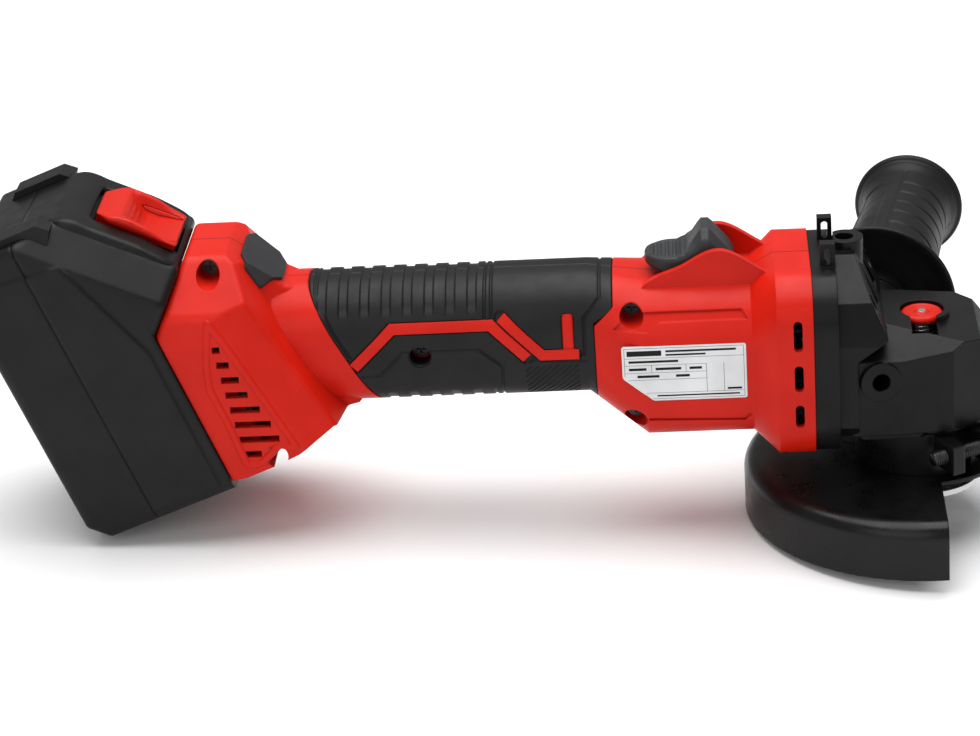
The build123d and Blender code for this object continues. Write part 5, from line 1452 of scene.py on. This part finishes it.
@dataclass
class RatingPrint:
    """Rules and grey bars printed on the rating plate, which carries no words."""

    face: float = -28.72
    rules: tuple[tuple[float, float, float, float], ...] = (
        (-109.6, 68.1, -66.2, 68.25), (-109.6, 57.2, -109.45, 68.2), (-66.3, 48.0, -66.15, 68.2),
        (-99.5, 48.0, -66.2, 48.15), (-109.5, 64.2, -66.2, 64.32), (-109.5, 61.4, -79.8, 61.52),
        (-109.5, 58.4, -79.8, 58.52), (-108.4, 55.6, -79.8, 55.72), (-79.9, 50.4, -79.75, 61.5),
        (-73.6, 50.4, -73.45, 61.5), (-99.8, 58.4, -99.65, 61.5), (-87.3, 58.4, -87.15, 61.5),
        (-102.0, 50.3, -66.2, 50.42),
    )
    bars: tuple[tuple[float, float, float, float], ...] = (
        (-108.6, 65.1, -96.0, 67.2), (-94.5, 66.4, -69.0, 67.2), (-94.5, 65.0, -80.0, 65.7),
        (-108.0, 62.4, -90.0, 63.3), (-108.0, 59.4, -101.6, 60.4), (-98.3, 59.4, -89.0, 60.4),
        (-86.0, 59.4, -81.5, 60.4), (-105.0, 56.5, -97.0, 57.5), (-91.0, 56.5, -86.0, 57.5),
        (-98.0, 48.9, -68.0, 49.5), (-72.4, 50.9, -67.2, 51.7),
    )

    def build(self, palette: Palette) -> None:
        """Makes every rule and bar as a thin flat face just over the plate.

        Args:
            palette: Hands out the finishes.
        """
        low_x, low_z, high_x, high_z = np.array(self.rules + self.bars).T
        x = np.stack([low_x, high_x, high_x, low_x], axis=-1)
        z = np.stack([low_z, low_z, high_z, high_z], axis=-1)
        points = np.stack([x, np.full_like(x, self.face), z], axis=-1)
        quads = np.arange(x.size).reshape(-1, 4)
        Piece("rating_print", "housing", "dark_plastic", smooth=False).build(points, quads, palette)


@dataclass
class LouvreFrame:
    """A raised rib round the louvres on each side of the rear block.

    A flattened arch is carried along a closed outline that lies on the block's side.
    """

    outline: Line = (
        (-258.9, 88.0), (-254.0, 80.0), (-242.0, 58.5), (-230.4, 36.8), (-237.0, 38.5),
        (-243.8, 31.5), (-249.5, 30.5), (-254.5, 46.0), (-260.6, 62.0), (-260.8, 72.0),
    )
    base: float = 36.0
    sunk: float = 0.25
    half_width: float = 1.5
    height: float = 0.9
    stations: int = 260
    arch_points: int = 11

    def build(self, palette: Palette) -> None:
        """Makes the rib on both sides.

        Args:
            palette: Hands out the finishes.
        """
        line = smooth_line((*self.outline, self.outline[0]), self.stations)[:-1]
        ahead = np.roll(line, -1, axis=0) - np.roll(line, 1, axis=0)
        ahead /= np.linalg.norm(ahead, axis=1, keepdims=True)
        arch = np.linspace(-1.0, 1.0, self.arch_points)
        x = line[:, :1] + ahead[:, 1:] * arch * self.half_width
        z = line[:, 1:] - ahead[:, :1] * arch * self.half_width
        lift = self.height * (1.0 - arch**4) - self.sunk
        quads = grid_quads(len(line), len(arch), looped=True)
        for side in Side:
            y = np.broadcast_to(side.value * (self.base + lift), x.shape)
            piece = Piece(f"louvre_frame_{side.name.lower()}", "housing", "red_plastic")
            facing = quads if side is Side.RIGHT else quads[:, ::-1]
            piece.build(np.stack([x, y, z], axis=-1), facing, palette)


# ------------------------------------------------------------------ studio


@dataclass
class Studio:
    """Floor, lamps, world and camera."""

    camera_place: tuple[float, float, float] = (-0.0778, -1.0990, 0.5404)
    right: tuple[float, float, float] = (0.99750, 0.03887, -0.05898)
    up: tuple[float, float, float] = (0.03764, 0.41401, 0.90949)
    back: tuple[float, float, float] = (0.05977, -0.90944, 0.41151)
    lens: float = 118.6
    shift: tuple[float, float] = (-0.0299, 0.0161)
    rest_points: Line = ((-0.3055, 0.0), (0.0, -0.0152))
    floor_gap: float = 0.0004
    floor_half: float = 6.0
    floor_tones: tuple[float, float] = (0.86, 0.88)
    aim: tuple[float, float, float] = (-0.14, 0.0, 0.04)
    # each lamp's name, place, size in metres and power in watts
    lamps: tuple[tuple[str, tuple[float, float, float], float, float], ...] = (
        ("top lamp", (-0.15, 0.15, 1.3), 1.4, 28.0),
        ("front lamp", (-0.5, -1.3, 0.7), 1.0, 5.5),
    )
    surround: float = 0.36

    @staticmethod
    def stand(obj: bpy.types.Object, axes: tuple[Array, Array, Array], place: Array) -> None:
        """Places an object by its three axes, as columns, and its origin.

        Args:
            obj: The lamp or camera.
            axes: Its X, Y and Z.
            place: Its origin, in metres.
        """
        turn = np.eye(4)
        turn[:3, :3] = np.stack(axes, axis=1)
        turn[:3, 3] = place
        obj.matrix_world = Matrix(turn.tolist())

    def floor(self) -> None:
        """A pale floor under the spindle's end and the pack's corner, which the tool rests on."""
        (rear_x, rear_z), (front_x, front_z) = self.rest_points
        slope = (front_z - rear_z) / (front_x - rear_x)
        x = np.array([-1.0, 1.0, 1.0, -1.0]) * self.floor_half
        y = np.array([-1.0, -1.0, 1.0, 1.0]) * self.floor_half
        z = front_z + slope * (x - front_x) - self.floor_gap
        mesh = bpy.data.meshes.new("floor")
        mesh.from_pydata(np.stack([x, y, z], axis=-1).tolist(), [], [(0, 1, 2, 3)])
        obj = linked("floor", mesh)
        board = Board("white floor")
        board.shader.inputs["Roughness"].default_value = 0.9
        tones = [(tone, tone, tone, 1.0) for tone in self.floor_tones]
        shade = board.blend(board.ramp(board.noise(3.0), 0.3, 0.7), *tones)
        board.put(board.shader.inputs["Base Color"], shade)
        mesh.materials.append(board.material)

    def lamp(self, name: str, place: tuple[float, float, float], size: float, watts: float) -> None:
        """A square soft lamp aimed at the tool's middle.

        Args:
            name: The lamp's name.
            place: Where it hangs, in metres.
            size: Its side, in metres.
            watts: Its power.
        """
        data = bpy.data.lights.new(name, "AREA")
        data.shape = "SQUARE"
        data.size = size
        data.energy = watts
        away = np.array(place) - np.array(self.aim)
        away /= np.linalg.norm(away)
        side = np.cross([0.0, 0.1, 1.0], away)
        side /= np.linalg.norm(side)
        self.stand(linked(name, data), (side, np.cross(away, side), away), place)

    def world(self) -> None:
        """A plain pale surround."""
        scene = bpy.context.scene
        scene.world = bpy.data.worlds.new("surround")
        scene.world.use_nodes = True
        shade = scene.world.node_tree.nodes["Background"]
        shade.inputs["Color"].default_value = (1.0, 1.0, 1.0, 1.0)
        shade.inputs["Strength"].default_value = self.surround
        scene.view_settings.view_transform = "Standard"

    def camera(self) -> None:
        """The camera at the solved place, with its axes as columns."""
        data = bpy.data.cameras.new("camera")
        data.sensor_width = 36.0
        data.lens = self.lens
        data.shift_x, data.shift_y = self.shift
        data.clip_start, data.clip_end = 0.05, 50.0
        obj = linked("camera", data)
        self.stand(obj, (self.right, self.up, self.back), self.camera_place)
        bpy.context.scene.camera = obj

    def build(self) -> None:
        """Sets the whole stage."""
        self.world()
        self.floor()
        for name, place, size, watts in self.lamps:
            self.lamp(name, place, size, watts)
        self.camera()


def main() -> None:
    """Loads the frame, dresses it and builds every piece in order."""
    logging.basicConfig(level=logging.INFO, format="%(name)s: %(message)s")
    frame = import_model()
    palette = Palette()
    palette.dress(frame)
    assemblies = (
        GripCover(), SideHandle(), LockButton(), LockSpring(), SlideSwitch(), ClampScrew(),
        SpindleEnd(), PackCrown(), LatchButton(), RatingPrint(), LouvreFrame(),
    )
    for assembly in assemblies:
        assembly.build(palette)
    Studio().build()


if __name__ == "__main__":
    main()
